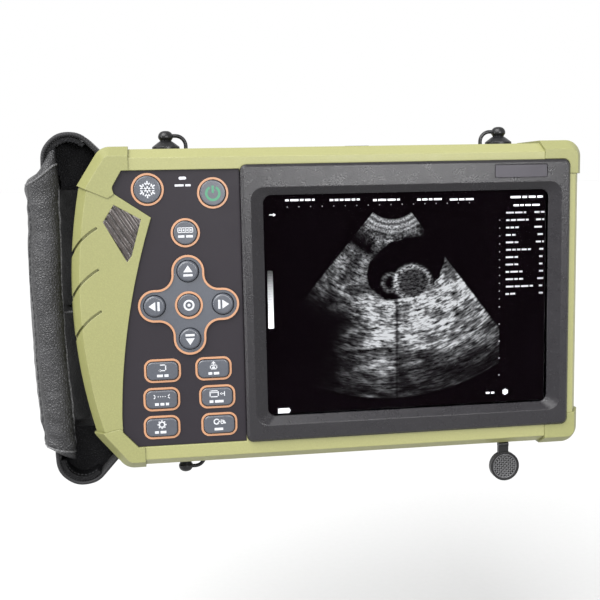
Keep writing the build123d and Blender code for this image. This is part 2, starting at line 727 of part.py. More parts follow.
def round_key(x, z, radius, front, dome):
    """A round key: a cap with a rounded front edge and a wider flange that stays behind the plate."""
    with BuildPart() as key:
        with BuildSketch(depth_plane(FLANGE_BACK)):
            with Locations((x, z)):
                Circle(radius)
        extrude(amount=FLANGE_BACK - front)
        fillet(key.faces().sort_by(Axis.Y)[0].edges(), radius=dome)
        with BuildSketch(depth_plane(FLANGE_BACK)):
            with Locations((x, z)):
                Circle(radius + KEY_FLANGE)
        extrude(amount=FLANGE_BACK - FLANGE_FRONT)
    return key.part


def block_key(x, z):
    """An oblong key with rounded corners and a flange."""
    with BuildPart() as key:
        with BuildSketch(depth_plane(FLANGE_BACK)):
            with Locations((x, z)):
                RectangleRounded(*BLOCK_KEY_SIZE, BLOCK_KEY_CORNER)
        extrude(amount=FLANGE_BACK - BLOCK_KEY_FRONT)
        fillet(key.faces().sort_by(Axis.Y)[0].edges(), radius=0.6)
        with BuildSketch(depth_plane(FLANGE_BACK)):
            with Locations((x, z)):
                RectangleRounded(
                    BLOCK_KEY_SIZE[0] + 2 * KEY_FLANGE,
                    BLOCK_KEY_SIZE[1] + 2 * KEY_FLANGE,
                    BLOCK_KEY_CORNER,
                )
        extrude(amount=FLANGE_BACK - FLANGE_FRONT)
    return key.part


# Keys
keys = {name: round_key(x, z, radius, ROUND_KEY_FRONT, 0.5) for name, (x, z, radius) in ROUND_KEYS.items()}
for name, (x, z) in zip(PAD_KEYS, PAD_PLACES):
    keys[name] = round_key(x, z, PAD_KEY_RADIUS, PAD_KEY_FRONT, 0.95)
keys["ok_button"] = round_key(*DPAD_CENTRE, OK_RADIUS, OK_FRONT, 0.5)
for name, (x, z) in BLOCK_KEYS.items():
    keys[name] = block_key(x, z)
for name, key in keys.items():
    key.label = name
    export_step(key, f"parts/{name}.step")

# Light pipe of the power lamp
with BuildPart() as power_lamp_lens:
    with BuildSketch(depth_plane(FLANGE_BACK)):
        with Locations(LED_CENTRE):
            SlotOverall(LED_SIZE[0] - 2 * PLATE_GAP, LED_SIZE[1] - 2 * PLATE_GAP)
    extrude(amount=FLANGE_BACK - PLATE_FRONT + 0.2)
power_lamp_lens.part.label = "power_lamp_lens"
export_step(power_lamp_lens.part, "parts/power_lamp_lens.step")

# Rubber key mat and the keypad's circuit board behind it
with BuildPart() as keypad_mat:
    with BuildSketch(depth_plane(MAT_BACK)):
        add(plate_outline.sketch)
        offset(amount=-MAT_INSET)
    extrude(amount=MAT_BACK - MAT_FRONT)
keypad_mat.part.label = "keypad_mat"
export_step(keypad_mat.part, "parts/keypad_mat.step")

with BuildPart() as keypad_board:
    with BuildSketch(depth_plane(MAT_BACK + BOARD_THICK)):
        add(plate_outline.sketch)
        offset(amount=-MAT_INSET)
    extrude(amount=BOARD_THICK)
    with BuildSketch(depth_plane(MAT_BACK + BOARD_THICK + KEYPAD_CHIP_HEIGHT)):
        chips(KEYPAD_CHIPS)
    extrude(amount=KEYPAD_CHIP_HEIGHT)
keypad_board.part.label = "keypad_board"
export_step(keypad_board.part, "parts/keypad_board.step")

# Screen bezel: a raised frame whose inner sides slope down to the opening
slope_x = SCREEN_X + (SLOPE_GROWTH[0] + SLOPE_GROWTH[1]) / 2
slope_z = (SLOPE_GROWTH[2] + SLOPE_GROWTH[3]) / 2
with BuildPart() as screen_bezel:
    with BuildSketch(depth_plane(BEZEL_BACK)):
        with Locations(BEZEL_CENTRE):
            RectangleRounded(*BEZEL_SIZE, BEZEL_CORNER)
    extrude(amount=BEZEL_BACK - BEZEL_FRONT)
    chamfer(screen_bezel.faces().sort_by(Axis.Y)[0].edges(), length=BEZEL_EDGE)
    with BuildSketch(depth_plane(SLOPE_BACK)):
        with Locations((SCREEN_X, 0)):
            RectangleRounded(*OPENING, OPENING_CORNER)
    with BuildSketch(depth_plane(BEZEL_FRONT - 0.01)):
        with Locations((slope_x, slope_z)):
            RectangleRounded(
                OPENING[0] + SLOPE_GROWTH[1] - SLOPE_GROWTH[0],
                OPENING[1] + SLOPE_GROWTH[3] - SLOPE_GROWTH[2],
                OPENING_CORNER + 2,
            )
    loft(ruled=True, mode=Mode.SUBTRACT)
    with BuildSketch(depth_plane(SLOPE_BACK + 1)):
        with Locations((SCREEN_X, 0)):
            RectangleRounded(*OPENING, OPENING_CORNER)
    extrude(amount=2, mode=Mode.SUBTRACT)
    with BuildSketch(depth_plane(BEZEL_BACK)):
        with Locations((SCREEN_X, 0)):
            Rectangle(GLASS_SIZE[0] + 2 * PLATE_GAP, GLASS_SIZE[1] + 2 * PLATE_GAP)
    extrude(amount=BEZEL_BACK - GLASS_FRONT, mode=Mode.SUBTRACT)
    with BuildSketch(depth_plane(BEZEL_FRONT + BADGE_DEPTH)):
        with Locations(BADGE_CENTRE):
            RectangleRounded(*BADGE_SIZE, 0.6)
    extrude(amount=2, mode=Mode.SUBTRACT)
screen_bezel.part.label = "screen_bezel"
export_step(screen_bezel.part, "parts/screen_bezel.step")

with BuildPart() as badge_plate:
    with BuildSketch(depth_plane(BEZEL_FRONT + BADGE_DEPTH)):
        with Locations(BADGE_CENTRE):
            RectangleRounded(BADGE_SIZE[0] - 0.3, BADGE_SIZE[1] - 0.3, 0.5)
    extrude(amount=BADGE_DEPTH - 0.15)
badge_plate.part.label = "badge_plate"
export_step(badge_plate.part, "parts/badge_plate.step")

# Cover glass, foam gasket and display module
with BuildPart() as cover_glass:
    with BuildSketch(depth_plane(GLASS_FRONT + GLASS_THICK)):
        with Locations((SCREEN_X, 0)):
            Rectangle(*GLASS_SIZE)
    extrude(amount=GLASS_THICK)
cover_glass.part.label = "cover_glass"
export_step(cover_glass.part, "parts/cover_glass.step")

with BuildPart() as screen_gasket:
    with BuildSketch(depth_plane(DISPLAY_FRONT)):
        with Locations((SCREEN_X, 0)):
            Rectangle(GLASS_SIZE[0] - 0.4, GLASS_SIZE[1] - 0.4)
            Rectangle(GLASS_SIZE[0] - 3.4, GLASS_SIZE[1] - 3.4, mode=Mode.SUBTRACT)
    extrude(amount=DISPLAY_FRONT - GLASS_FRONT - GLASS_THICK)
screen_gasket.part.label = "screen_gasket"
export_step(screen_gasket.part, "parts/screen_gasket.step")

with BuildPart() as display_module:
    with BuildSketch(depth_plane(DISPLAY_BACK)):
        with Locations((SCREEN_X, 0)):
            Rectangle(*DISPLAY_SIZE)
    extrude(amount=DISPLAY_BACK - DISPLAY_FRONT)
    with BuildSketch(depth_plane(DISPLAY_BACK)):
        with Locations((SCREEN_X + DISPLAY_POCKET_PLACE[0], DISPLAY_POCKET_PLACE[1])):
            Rectangle(*DISPLAY_POCKET)
    extrude(amount=1, mode=Mode.SUBTRACT)
display_module.part.label = "display_module"
export_step(display_module.part, "parts/display_module.step")

# Main board and the board that drives the probe
with BuildPart() as main_board:
    with BuildSketch(depth_plane(MAIN_BOARD_BACK)):
        with Locations(MAIN_BOARD_CENTRE):
            Rectangle(*MAIN_BOARD_SIZE)
            with GridLocations(*MAIN_BOARD_HOLES, 2, 2):
                Circle(MAIN_BOARD_HOLE_RADIUS, mode=Mode.SUBTRACT)
    extrude(amount=BOARD_THICK)
    with BuildSketch(depth_plane(MAIN_BOARD_BACK + MAIN_CHIP_HEIGHT)):
        chips(MAIN_CHIPS)
    extrude(amount=MAIN_CHIP_HEIGHT)
main_board.part.label = "main_board"
export_step(main_board.part, "parts/main_board.step")

with BuildPart() as probe_board:
    with BuildSketch(depth_plane(PROBE_BOARD_BACK)):
        with Locations(PROBE_BOARD_CENTRE):
            Rectangle(*PROBE_BOARD_SIZE)
    extrude(amount=BOARD_THICK)
    with BuildSketch(depth_plane(PROBE_BOARD_BACK + PROBE_CHIP_HEIGHT)):
        chips(PROBE_CHIPS)
    extrude(amount=PROBE_CHIP_HEIGHT)
probe_board.part.label = "probe_board"
export_step(probe_board.part, "parts/probe_board.step")

# Speaker behind its grille
with BuildPart() as speaker:
    with BuildSketch(depth_plane(CASE_BACK - BACK_WALL - SPEAKER_GAP)):
        with Locations(GRILLE_CENTRE):
            Circle(SPEAKER_RADIUS)
    extrude(amount=SPEAKER_RIM)
    with BuildSketch(depth_plane(CASE_BACK - BACK_WALL - SPEAKER_GAP - SPEAKER_RIM)):
        with Locations(GRILLE_CENTRE):
            Circle(MAGNET_RADIUS)
    extrude(amount=MAGNET_HEIGHT)
speaker.part.label = "speaker"
export_step(speaker.part, "parts/speaker.step")

# Battery pack and its screwed cover
with BuildPart() as battery_pack:
    with BuildSketch(depth_plane(BATTERY_BACK)):
        with Locations(BATTERY_CENTRE):
            RectangleRounded(*BATTERY_SIZE, 2)
    extrude(amount=BATTERY_BACK - BATTERY_FRONT)
    fillet(battery_pack.faces().sort_by(Axis.Y)[-1].edges(), radius=1)
battery_pack.part.label = "battery_pack"
export_step(battery_pack.part, "parts/battery_pack.step")

with BuildPart() as battery_cover:
    with BuildSketch(depth_plane(CASE_BACK)):
        with Locations(BATTERY_CENTRE):
            RectangleRounded(
                COVER_SIZE[0] - 2 * COVER_GAP, COVER_SIZE[1] - 2 * COVER_GAP, COVER_CORNER - COVER_GAP
            )
    extrude(amount=COVER_THICK - 0.05)
    with Locations(Plane((0, CASE_BACK, 0), x_dir=(1, 0, 0), z_dir=(0, 1, 0))):
        with Locations((BATTERY_CENTRE[0], -BATTERY_CENTRE[1])):
            with GridLocations(COVER_SCREWS, 1, 2, 1):
                CounterBoreHole(SCREW_RADIUS + SCREW_GAP, HEAD_RADIUS, COVER_HEAD_SINK, depth=COVER_THICK + 1)
    with BuildSketch(depth_plane(CASE_BACK)):
        with Locations((BATTERY_CENTRE[0], BATTERY_CENTRE[1] + LABEL_RISE)):
            RectangleRounded(*LABEL_SIZE, LABEL_CORNER)
        with Locations((BATTERY_CENTRE[0], BATTERY_CENTRE[1] - VENT_DROP)):
            with GridLocations(1, VENT_PITCH, 1, 4):
                SlotOverall(*VENT_SLOT)
    extrude(amount=LABEL_THICK, mode=Mode.SUBTRACT)
battery_cover.part.label = "battery_cover"
export_step(battery_cover.part, "parts/battery_cover.step")

with BuildPart() as rating_plate:
    with BuildSketch(depth_plane(CASE_BACK)):
        with Locations((BATTERY_CENTRE[0], BATTERY_CENTRE[1] + LABEL_RISE)):
            RectangleRounded(LABEL_SIZE[0] - 0.2, LABEL_SIZE[1] - 0.2, LABEL_CORNER - 0.1)
    extrude(amount=LABEL_THICK)
rating_plate.part.label = "rating_plate"
export_step(rating_plate.part, "parts/rating_plate.step")

# Screws of the battery cover
with BuildPart() as cover_screws:
    with BuildSketch(depth_plane(CASE_BACK)):
        with Locations(BATTERY_CENTRE):
            with GridLocations(COVER_SCREWS, 1, 2, 1):
                Circle(HEAD_RADIUS - 0.1)
                RegularPolygon(COVER_HEX_RADIUS, 6, mode=Mode.SUBTRACT)
    extrude(amount=COVER_HEAD_SINK)
    with BuildSketch(depth_plane(CASE_BACK - COVER_HEAD_SINK)):
        with Locations(BATTERY_CENTRE):
            with GridLocations(COVER_SCREWS, 1, 2, 1):
                Circle(SCREW_RADIUS)
    extrude(amount=COVER_SCREW_DEPTH - COVER_HEAD_SINK)
cover_screws.part.label = "cover_screws"
export_step(cover_screws.part, "parts/cover_screws.step")

# Screws that hold the two halves together, with hexagon sockets
with BuildPart() as case_screws:
    with BuildSketch(depth_plane(CASE_BACK - HEAD_SINK + HEAD_HEIGHT)):
        with Locations(*BOSSES):
            Circle(HEAD_RADIUS)
    extrude(amount=HEAD_HEIGHT)
    with BuildSketch(depth_plane(CASE_BACK - HEAD_SINK + HEAD_HEIGHT)):
        with Locations(*BOSSES):
            RegularPolygon(HEX_RADIUS, 6)
    extrude(amount=HEX_DEPTH, mode=Mode.SUBTRACT)
    with BuildSketch(depth_plane(CASE_BACK - HEAD_SINK)):
        with Locations(*BOSSES):
            Circle(SCREW_RADIUS)
    extrude(amount=CASE_BACK - HEAD_SINK - SPLIT_Y + SCREW_BITE - 0.2)
case_screws.part.label = "case_screws"
export_step(case_screws.part, "parts/case_screws.step")

# Slot of the microphone in the front bevel of the top
with BuildPart() as microphone_slot:
    with BuildSketch(Plane.XY.offset(CASE_TOP - MICROPHONE_SINK)):
        with Locations(MICROPHONE_PLACE):
            SlotOverall(*MICROPHONE_SIZE)
    extrude(amount=MICROPHONE_SINK + 0.1)
microphone_slot.part.label = "microphone_slot"
export_step(microphone_slot.part, "parts/microphone_slot.step")

# Sockets behind the three capped ports
for name, (x, y, way, side) in PORTS.items():
    wall_inside = (CASE_TOP if way > 0 else -CASE_BOTTOM) - WALL
    with BuildPart() as socket:
        with BuildSketch(Plane.XY.offset(way * wall_inside)):
            with Locations((x, y)):
                Circle(SOCKET_OUTER)
        extrude(amount=-way * SOCKET_DEPTH)
        with BuildSketch(Plane.XY.offset(way * wall_inside)):
            with Locations((x, y)):
                Circle(SOCKET_BORE)
        extrude(amount=-way * SOCKET_BORE_DEPTH, mode=Mode.SUBTRACT)
    socket.part.label = name
    export_step(socket.part, f"parts/{name}.step")

# Socket of the probe, open at the bottom of the case
with BuildPart() as probe_socket:
    with BuildSketch(Plane.XY.offset(CASE_BOTTOM - SOCKET_PROUD)):
        with Locations((PROBE_X, PROBE_Y)):
            Circle(PROBE_OUTER)
    extrude(amount=PROBE_DEPTH)
    with BuildSketch(Plane.XY.offset(CASE_BOTTOM - SOCKET_PROUD)):
        with Locations((PROBE_X, PROBE_Y)):
            Circle(PROBE_BORE)
    extrude(amount=PROBE_BORE_DEPTH, mode=Mode.SUBTRACT)
probe_socket.part.label = "probe_socket"
export_step(probe_socket.part, "parts/probe_socket.step")


def dust_cap(x, y, way, side):
    """A rubber port cap: plug, flange, waist and round head, with a tether that bows over to its tail.

    It is drawn standing on z = 0 and opening upwards, then turned over for a port underneath.
    """
    bend_x = TETHER_BEND - TETHER_REACH
    bend_start = TETHER_HEIGHT - TETHER_BEND
    with BuildPart() as cap:
        with BuildSketch(Plane.XZ):
            with BuildLine():
                Polyline(
                    (0, -PLUG_LENGTH),
                    (PLUG_RADIUS - PLUG_TIP[0], -PLUG_LENGTH),
                    (PLUG_RADIUS, -PLUG_LENGTH + PLUG_TIP[1]),
                    (PLUG_RADIUS, CAP_SEAT),
                    (CAP_FLANGE, CAP_SEAT),
                    (CAP_FLANGE, CAP_SEAT + CAP_RIM),
                    CAP_SHOULDER,
                    CAP_WAIST,
                    CAP_HEAD_START,
                )
                ThreePointArc(CAP_HEAD_START, CAP_HEAD_SIDE, (0, CAP_HEIGHT))
                Line((0, CAP_HEIGHT), (0, -PLUG_LENGTH))
            make_face()
        revolve(axis=Axis.Z)
        with BuildLine() as path:
            Line((-TETHER_REACH, 0, -TAIL_LENGTH), (-TETHER_REACH, 0, bend_start))
            ThreePointArc(
                (-TETHER_REACH, 0, bend_start),
                (bend_x - TETHER_BEND * cos(radians(45)), 0, bend_start + TETHER_BEND * sin(radians(45))),
                (bend_x, 0, TETHER_HEIGHT),
            )
            Line((bend_x, 0, TETHER_HEIGHT), (-1.0, 0, TETHER_HEIGHT))
        with BuildSketch(Plane((-TETHER_REACH, 0, -TAIL_LENGTH))):
            Circle(TETHER_RADIUS)
        sweep(path=path.wires()[0])
    ground = CASE_TOP if way > 0 else CASE_BOTTOM
    turned = cap.part if side < 0 else cap.part.rotate(Axis.Z, 180)
    upright = turned if way > 0 else turned.rotate(Axis.X, 180)
    return upright.moved(Location((x, y, ground)))


for name, place in PORTS.items():
    cap = dust_cap(*place)
    cap.label = CAP_NAMES[name]
    export_step(cap, f"parts/{CAP_NAMES[name]}.step")

# Rubber root of the open cap, held in the case beside the probe socket
with BuildPart() as probe_cap_root:
    with BuildSketch(Plane.XY.offset(CASE_BOTTOM - 0.8)):
        with Locations((PROBE_X, HINGE_Y)):
            Rectangle(NECK_WIDTH - 0.1, ANCHOR_THICK - 0.1)
    extrude(amount=WALL + 0.4)
probe_cap_root.part.label = "probe_cap_root"
export_step(probe_cap_root.part, "parts/probe_cap_root.step")

# The open cap of the probe socket, hanging by its neck
CAP_DISC_CENTRE = (PROBE_X + CAP_DISC_SHIFT, HINGE_Z - (PROBE_Y - HINGE_Y))
DISC_BACK = HINGE_Y + CAP_DISC_THICK / 2
with BuildPart() as probe_socket_cap:
    with BuildSketch(Plane.YZ.offset(PROBE_X)):
        with Locations((HINGE_Y, HINGE_Z)):
            Circle(HINGE_RADIUS)
    extrude(amount=NECK_WIDTH / 2, both=True)
    with BuildSketch(depth_plane(HINGE_Y + NECK_THICK / 2)):
        with Locations((PROBE_X, HINGE_Z)):
            Rectangle(NECK_WIDTH, NECK_LENGTH, align=(Align.CENTER, Align.MAX))
    extrude(amount=NECK_THICK)
    with BuildSketch(depth_plane(DISC_BACK)):
        with Locations(CAP_DISC_CENTRE):
            Circle(CAP_DISC_RADIUS)
    extrude(amount=CAP_DISC_THICK)
    with BuildSketch(depth_plane(DISC_BACK - CAP_DISC_THICK)):
        with Locations(CAP_DISC_CENTRE):
            Circle(CAP_DISC_RADIUS)
            Circle(CAP_DISC_RADIUS - CAP_RIM_SIZE[0], mode=Mode.SUBTRACT)
    extrude(amount=CAP_RIM_SIZE[1])
    with BuildSketch(depth_plane(DISC_BACK + CAP_PLUG[2])):
        with Locations(CAP_DISC_CENTRE):
            Circle(CAP_PLUG[0])
            Circle(CAP_PLUG[1], mode=Mode.SUBTRACT)
    extrude(amount=CAP_PLUG[2])
probe_socket_cap.part.label = "probe_socket_cap"
export_step(probe_socket_cap.part, "parts/probe_socket_cap.step")

# Steel bars that the strap loops round
for name, bar in BARS.items():
    with BuildPart() as strap_bar:
        with BuildSketch(depth_plane(BAR_BACK)):
            with Locations(bar):
                Circle(BAR_RADIUS)
        extrude(amount=BAR_BACK - BAR_FRONT)
    strap_bar.part.label = name
    export_step(strap_bar.part, f"parts/{name}.step")


def tangent_angle(centre, bar, side, eye):
    """The direction, in degrees, in which the outer tangent touches both the loop and the bar's eye."""
    gap = (bar[0] - centre[0], bar[1] - centre[1])
    lean = degrees(atan2(gap[1], gap[0]))
    return lean + side * degrees(acos((LOOP_RADIUS - eye) / hypot(*gap)))


def around(centre, radius, angle):
    """The point at an angle, in degrees, on a circle."""
    return (centre[0] + radius * cos(radians(angle)), centre[1] + radius * sin(radians(angle)))


# Strap webbing: down from the upper bar, over the upper loop, through the pad and round the lower loop
EYE_RADIUS = BAR_RADIUS + EYE_GAP + WEBBING_THICK / 2
UPPER_BAR, LOWER_BAR = BARS["strap_bar_upper"], BARS["strap_bar_lower"]
upper_angle = tangent_angle(LOOP_CENTRES[1], UPPER_BAR, 1, EYE_RADIUS)
lower_angle = tangent_angle(LOOP_CENTRES[-1], LOWER_BAR, -1, EYE_RADIUS)


def strap_path(radius, upper_start, upper_end, lower_end, lower_start):
    """The edges of the strap's line, from above the case, round both loops, to below the case."""
    top = (LOOP_CENTRES[1][0] - radius, LOOP_CENTRES[1][1])
    low = (LOOP_CENTRES[-1][0] - radius, LOOP_CENTRES[-1][1])
    return (
        Line(upper_start, upper_end),
        CenterArc(LOOP_CENTRES[1], radius, upper_angle, 180 - upper_angle),
        Line(top, low),
        CenterArc(LOOP_CENTRES[-1], radius, 180, 180 + lower_angle),
        Line(lower_end, lower_start),
    )


with BuildPart() as strap_webbing:
    with BuildSketch(depth_plane(WEBBING_BACK)):
        with BuildLine():
            strap_path(
                LOOP_RADIUS,
                around(UPPER_BAR, EYE_RADIUS, upper_angle),
                around(LOOP_CENTRES[1], LOOP_RADIUS, upper_angle),
                around(LOOP_CENTRES[-1], LOOP_RADIUS, lower_angle),
                around(LOWER_BAR, EYE_RADIUS, lower_angle),
            )
        trace(line_width=WEBBING_THICK)
        with Locations(UPPER_BAR, LOWER_BAR):
            Circle(EYE_RADIUS + WEBBING_THICK / 2)
        with Locations(UPPER_BAR, LOWER_BAR):
            Circle(EYE_RADIUS - WEBBING_THICK / 2, mode=Mode.SUBTRACT)
    extrude(amount=WEBBING_BACK - WEBBING_FRONT)
strap_webbing.part.label = "strap_webbing"
export_step(strap_webbing.part, "parts/strap_webbing.step")

# Leather tongues: a lining inside each loop, and a web that closes the loop behind it
LINER_RADIUS = LOOP_RADIUS - WEBBING_THICK / 2 - LINER_GAP - LINER_THICK / 2
LINER_TURNS = {1: (upper_angle, 180 - upper_angle), -1: (180, 180 + lower_angle)}
with BuildPart() as strap_tongues:
    with BuildSketch(depth_plane(WEBBING_BACK)):
        for side, turn in LINER_TURNS.items():
            with BuildLine():
                CenterArc(LOOP_CENTRES[side], LINER_RADIUS, *turn)
            trace(line_width=LINER_THICK)
    extrude(amount=WEBBING_BACK - WEBBING_FRONT)
    with BuildSketch(depth_plane(WEB_BACK)):
        for side, turn in LINER_TURNS.items():
            with BuildLine():
                arc = CenterArc(LOOP_CENTRES[side], LINER_RADIUS, *turn)
                inner, outer = (arc @ 0, arc @ 1) if side > 0 else (arc @ 1, arc @ 0)
                Polyline(inner, *WEB_CORNERS[side], (outer.X, WEB_CORNERS[side][-1][1]), outer)
            make_face()
    extrude(amount=WEB_BACK - WEB_FRONT)
strap_tongues.part.label = "strap_tongues"
export_step(strap_tongues.part, "parts/strap_tongues.step")

# Padded sleeve over the straight run of the webbing, curved round the hand
with BuildPart() as strap_pad:
    with BuildSketch(Plane.XY.offset(PAD_BOTTOM)):
        with BuildLine():
            for points in PAD_ARCS:
                ThreePointArc(*points)
        make_face()
        with Locations((LOOP_CENTRES[1][0] - LOOP_RADIUS, (WEBBING_FRONT + WEBBING_BACK) / 2)):
            Rectangle(PAD_SLOT, WEBBING_BACK - WEBBING_FRONT + 1.2, mode=Mode.SUBTRACT)
    extrude(amount=PAD_TOP - PAD_BOTTOM)
strap_pad.part.label = "strap_pad"
export_step(strap_pad.part, "parts/strap_pad.step")
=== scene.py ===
import json
import math
import random

import bmesh
import bpy
from mathutils import Matrix, Vector, noise


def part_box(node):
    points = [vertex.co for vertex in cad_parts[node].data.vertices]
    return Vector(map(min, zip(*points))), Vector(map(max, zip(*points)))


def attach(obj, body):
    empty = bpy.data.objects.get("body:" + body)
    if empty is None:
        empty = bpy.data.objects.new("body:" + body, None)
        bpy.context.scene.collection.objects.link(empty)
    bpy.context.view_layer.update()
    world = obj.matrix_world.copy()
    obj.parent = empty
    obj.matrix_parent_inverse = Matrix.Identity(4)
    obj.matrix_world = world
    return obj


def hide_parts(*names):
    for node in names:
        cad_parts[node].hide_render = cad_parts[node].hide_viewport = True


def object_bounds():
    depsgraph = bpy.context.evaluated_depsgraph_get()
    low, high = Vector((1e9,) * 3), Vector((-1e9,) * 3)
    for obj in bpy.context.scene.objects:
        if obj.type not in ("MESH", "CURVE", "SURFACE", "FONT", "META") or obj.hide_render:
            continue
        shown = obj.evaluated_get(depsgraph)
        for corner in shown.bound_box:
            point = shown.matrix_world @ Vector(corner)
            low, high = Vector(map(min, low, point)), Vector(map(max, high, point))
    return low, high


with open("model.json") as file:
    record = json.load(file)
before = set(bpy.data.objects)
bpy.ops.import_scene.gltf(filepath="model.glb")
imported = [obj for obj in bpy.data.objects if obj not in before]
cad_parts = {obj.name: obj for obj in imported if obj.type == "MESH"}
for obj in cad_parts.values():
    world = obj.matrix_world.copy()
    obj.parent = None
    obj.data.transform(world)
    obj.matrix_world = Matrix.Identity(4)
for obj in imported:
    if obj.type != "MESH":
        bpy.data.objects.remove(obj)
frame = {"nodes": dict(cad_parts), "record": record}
CAD_LOW, CAD_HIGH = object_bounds()
MM = 0.001
CASE = "scanner"

# Pitches of the weave, in millimetres
PICK_PITCH = 1.1
END_PITCH = 1.7
STRAND_PITCH = 0.42


# ---------------- node arithmetic

class Wire:
    """A shader socket that Python sums can be written with: each operation adds one Math node."""

    def __init__(self, tree, socket):
        self.tree = tree
        self.socket = socket

    def math(self, kind, *others):
        node = self.tree.nodes.new("ShaderNodeMath")
        node.operation = kind
        self.tree.links.new(self.socket, node.inputs[0])
        for place, other in enumerate(others, 1):
            if isinstance(other, Wire):
                self.tree.links.new(other.socket, node.inputs[place])
            else:
                node.inputs[place].default_value = other
        return Wire(self.tree, node.outputs[0])

    def __add__(self, other):
        return self.math("ADD", other)

    __radd__ = __add__

    def __sub__(self, other):
        return self.math("SUBTRACT", other)

    def __rsub__(self, other):
        return self.math("MULTIPLY", -1).math("ADD", other)

    def __mul__(self, other):
        return self.math("MULTIPLY", other)

    def __truediv__(self, other):
        return self.math("DIVIDE", other)

    def power(self, other):
        return self.math("POWER", other)

    def clamp(self):
        return self.math("MAXIMUM", 0.0).math("MINIMUM", 1.0)

    def smooth(self, low, high):
        """0 at low, 1 at high and a smooth step between. Low may be the larger of the two."""
        node = self.tree.nodes.new("ShaderNodeMapRange")
        node.interpolation_type = "SMOOTHSTEP"
        self.tree.links.new(self.socket, node.inputs["Value"])
        for name, value in (("From Min", low), ("From Max", high)):
            node.inputs[name].default_value = value
        return Wire(self.tree, node.outputs["Result"])

    def bell(self, centre, width):
        """A soft peak of height 1 at centre."""
        away = (self - centre) / width
        return (away * away * -1.0).math("EXPONENT")


def new_material(name):
    made = bpy.data.materials.new(name)
    made.use_nodes = True
    tree = made.node_tree
    return made, tree, tree.nodes["Principled BSDF"]


def coordinates(tree, stretch=(1, 1, 1), kind="Object"):
    """Object or UV coordinates, stretched along each axis."""
    source = tree.nodes.new("ShaderNodeTexCoord")
    mapping = tree.nodes.new("ShaderNodeMapping")
    mapping.inputs["Scale"].default_value = stretch
    tree.links.new(source.outputs[kind], mapping.inputs["Vector"])
    return mapping.outputs["Vector"]


def noise_wire(tree, vector, scale, detail=3.0, rough=0.55):
    node = tree.nodes.new("ShaderNodeTexNoise")
    node.inputs["Scale"].default_value = scale
    node.inputs["Detail"].default_value = detail
    node.inputs["Roughness"].default_value = rough
    tree.links.new(vector, node.inputs["Vector"])
    return Wire(tree, node.outputs["Fac"])


def cells_wire(tree, vector, scale):
    """How far a point is from the edge of its cell."""
    node = tree.nodes.new("ShaderNodeTexVoronoi")
    node.feature = "DISTANCE_TO_EDGE"
    node.inputs["Scale"].default_value = scale
    tree.links.new(vector, node.inputs["Vector"])
    return Wire(tree, node.outputs["Distance"])


def blend_colours(tree, factor, first, second):
    """Mixes two colours, or a socket and a colour, by a wire."""
    node = tree.nodes.new("ShaderNodeMix")
    node.data_type = "RGBA"
    tree.links.new(factor.socket, node.inputs["Factor"])
    for place, value in ((6, first), (7, second)):
        if isinstance(value, bpy.types.NodeSocket):
            tree.links.new(value, node.inputs[place])
        else:
            node.inputs[place].default_value = (*value, 1)
    return node.outputs[2]


def rounded_normal(tree, radius):
    """A normal that rounds off sharp edges, and how near an edge the surface is."""
    bevel = tree.nodes.new("ShaderNodeBevel")
    bevel.samples = 4
    bevel.inputs["Radius"].default_value = radius
    place = tree.nodes.new("ShaderNodeNewGeometry")
    dot = tree.nodes.new("ShaderNodeVectorMath")
    dot.operation = "DOT_PRODUCT"
    tree.links.new(bevel.outputs["Normal"], dot.inputs[0])
    tree.links.new(place.outputs["Normal"], dot.inputs[1])
    nearness = (1.0 - Wire(tree, dot.outputs["Value"])).smooth(0.01, 0.22)
    return bevel.outputs["Normal"], nearness


def add_bump(tree, shader, height, distance, strength=1.0, normal=None):
    bump = tree.nodes.new("ShaderNodeBump")
    bump.inputs["Distance"].default_value = distance
    bump.inputs["Strength"].default_value = strength
    tree.links.new(height.socket, bump.inputs["Height"])
    if normal is not None:
        tree.links.new(normal, bump.inputs["Normal"])
    tree.links.new(bump.outputs["Normal"], shader.inputs["Normal"])


def tint(colour, share):
    return tuple(min(1.0, channel * share) for channel in colour)


def moulded(name, colour, roughness, grain=2600, depth=0.03, wear_and_highlight=None, spread=0.10, edge=0.25, specular=0.5,
            speck=None):
    """Moulded plastic or rubber: fine grain, faint colour drift, rubbed edges and uneven gloss. On the insert the
    pale edge colour is a painted highlight instead of wear.

    grain is the noise scale, depth and edge are in millimetres, and speck is a colour for scattered dots."""
    made, tree, shader = new_material(name)
    place = coordinates(tree)
    drift = noise_wire(tree, place, 22, 3)
    fine = noise_wire(tree, place, grain, 3, 0.65)
    scuffs = noise_wire(tree, place, 160, 5, 0.7)
    base = blend_colours(tree, drift, tint(colour, 1 - spread), tint(colour, 1 + spread))
    base = blend_colours(tree, fine.smooth(0.35, 0.8) * 0.35, base, tint(colour, 1.25 if speck else 1.5))
    if speck:
        dots = noise_wire(tree, place, 1500, 2, 0.6).smooth(0.60, 0.70)
        base = blend_colours(tree, dots * 0.8, base, speck)
    normal, near_edge = rounded_normal(tree, edge * MM)
    # Paler colour near edges, patchy by the scuff noise: rubbed wear on most finishes, a painted highlight along
    # the ribs on the insert.
    worn = (near_edge * scuffs.smooth(0.38, 0.62)).clamp()
    base = blend_colours(tree, worn * 0.7, base, wear_and_highlight or tint(colour, 1.6))
    tree.links.new(base, shader.inputs["Base Color"])
    tree.links.new(((scuffs - 0.5) * 0.25 + (fine - 0.5) * 0.18 + roughness).clamp().socket,
                   shader.inputs["Roughness"])
    shader.inputs["Specular IOR Level"].default_value = specular
    add_bump(tree, shader, fine, depth * MM, 0.8, normal)
    return made


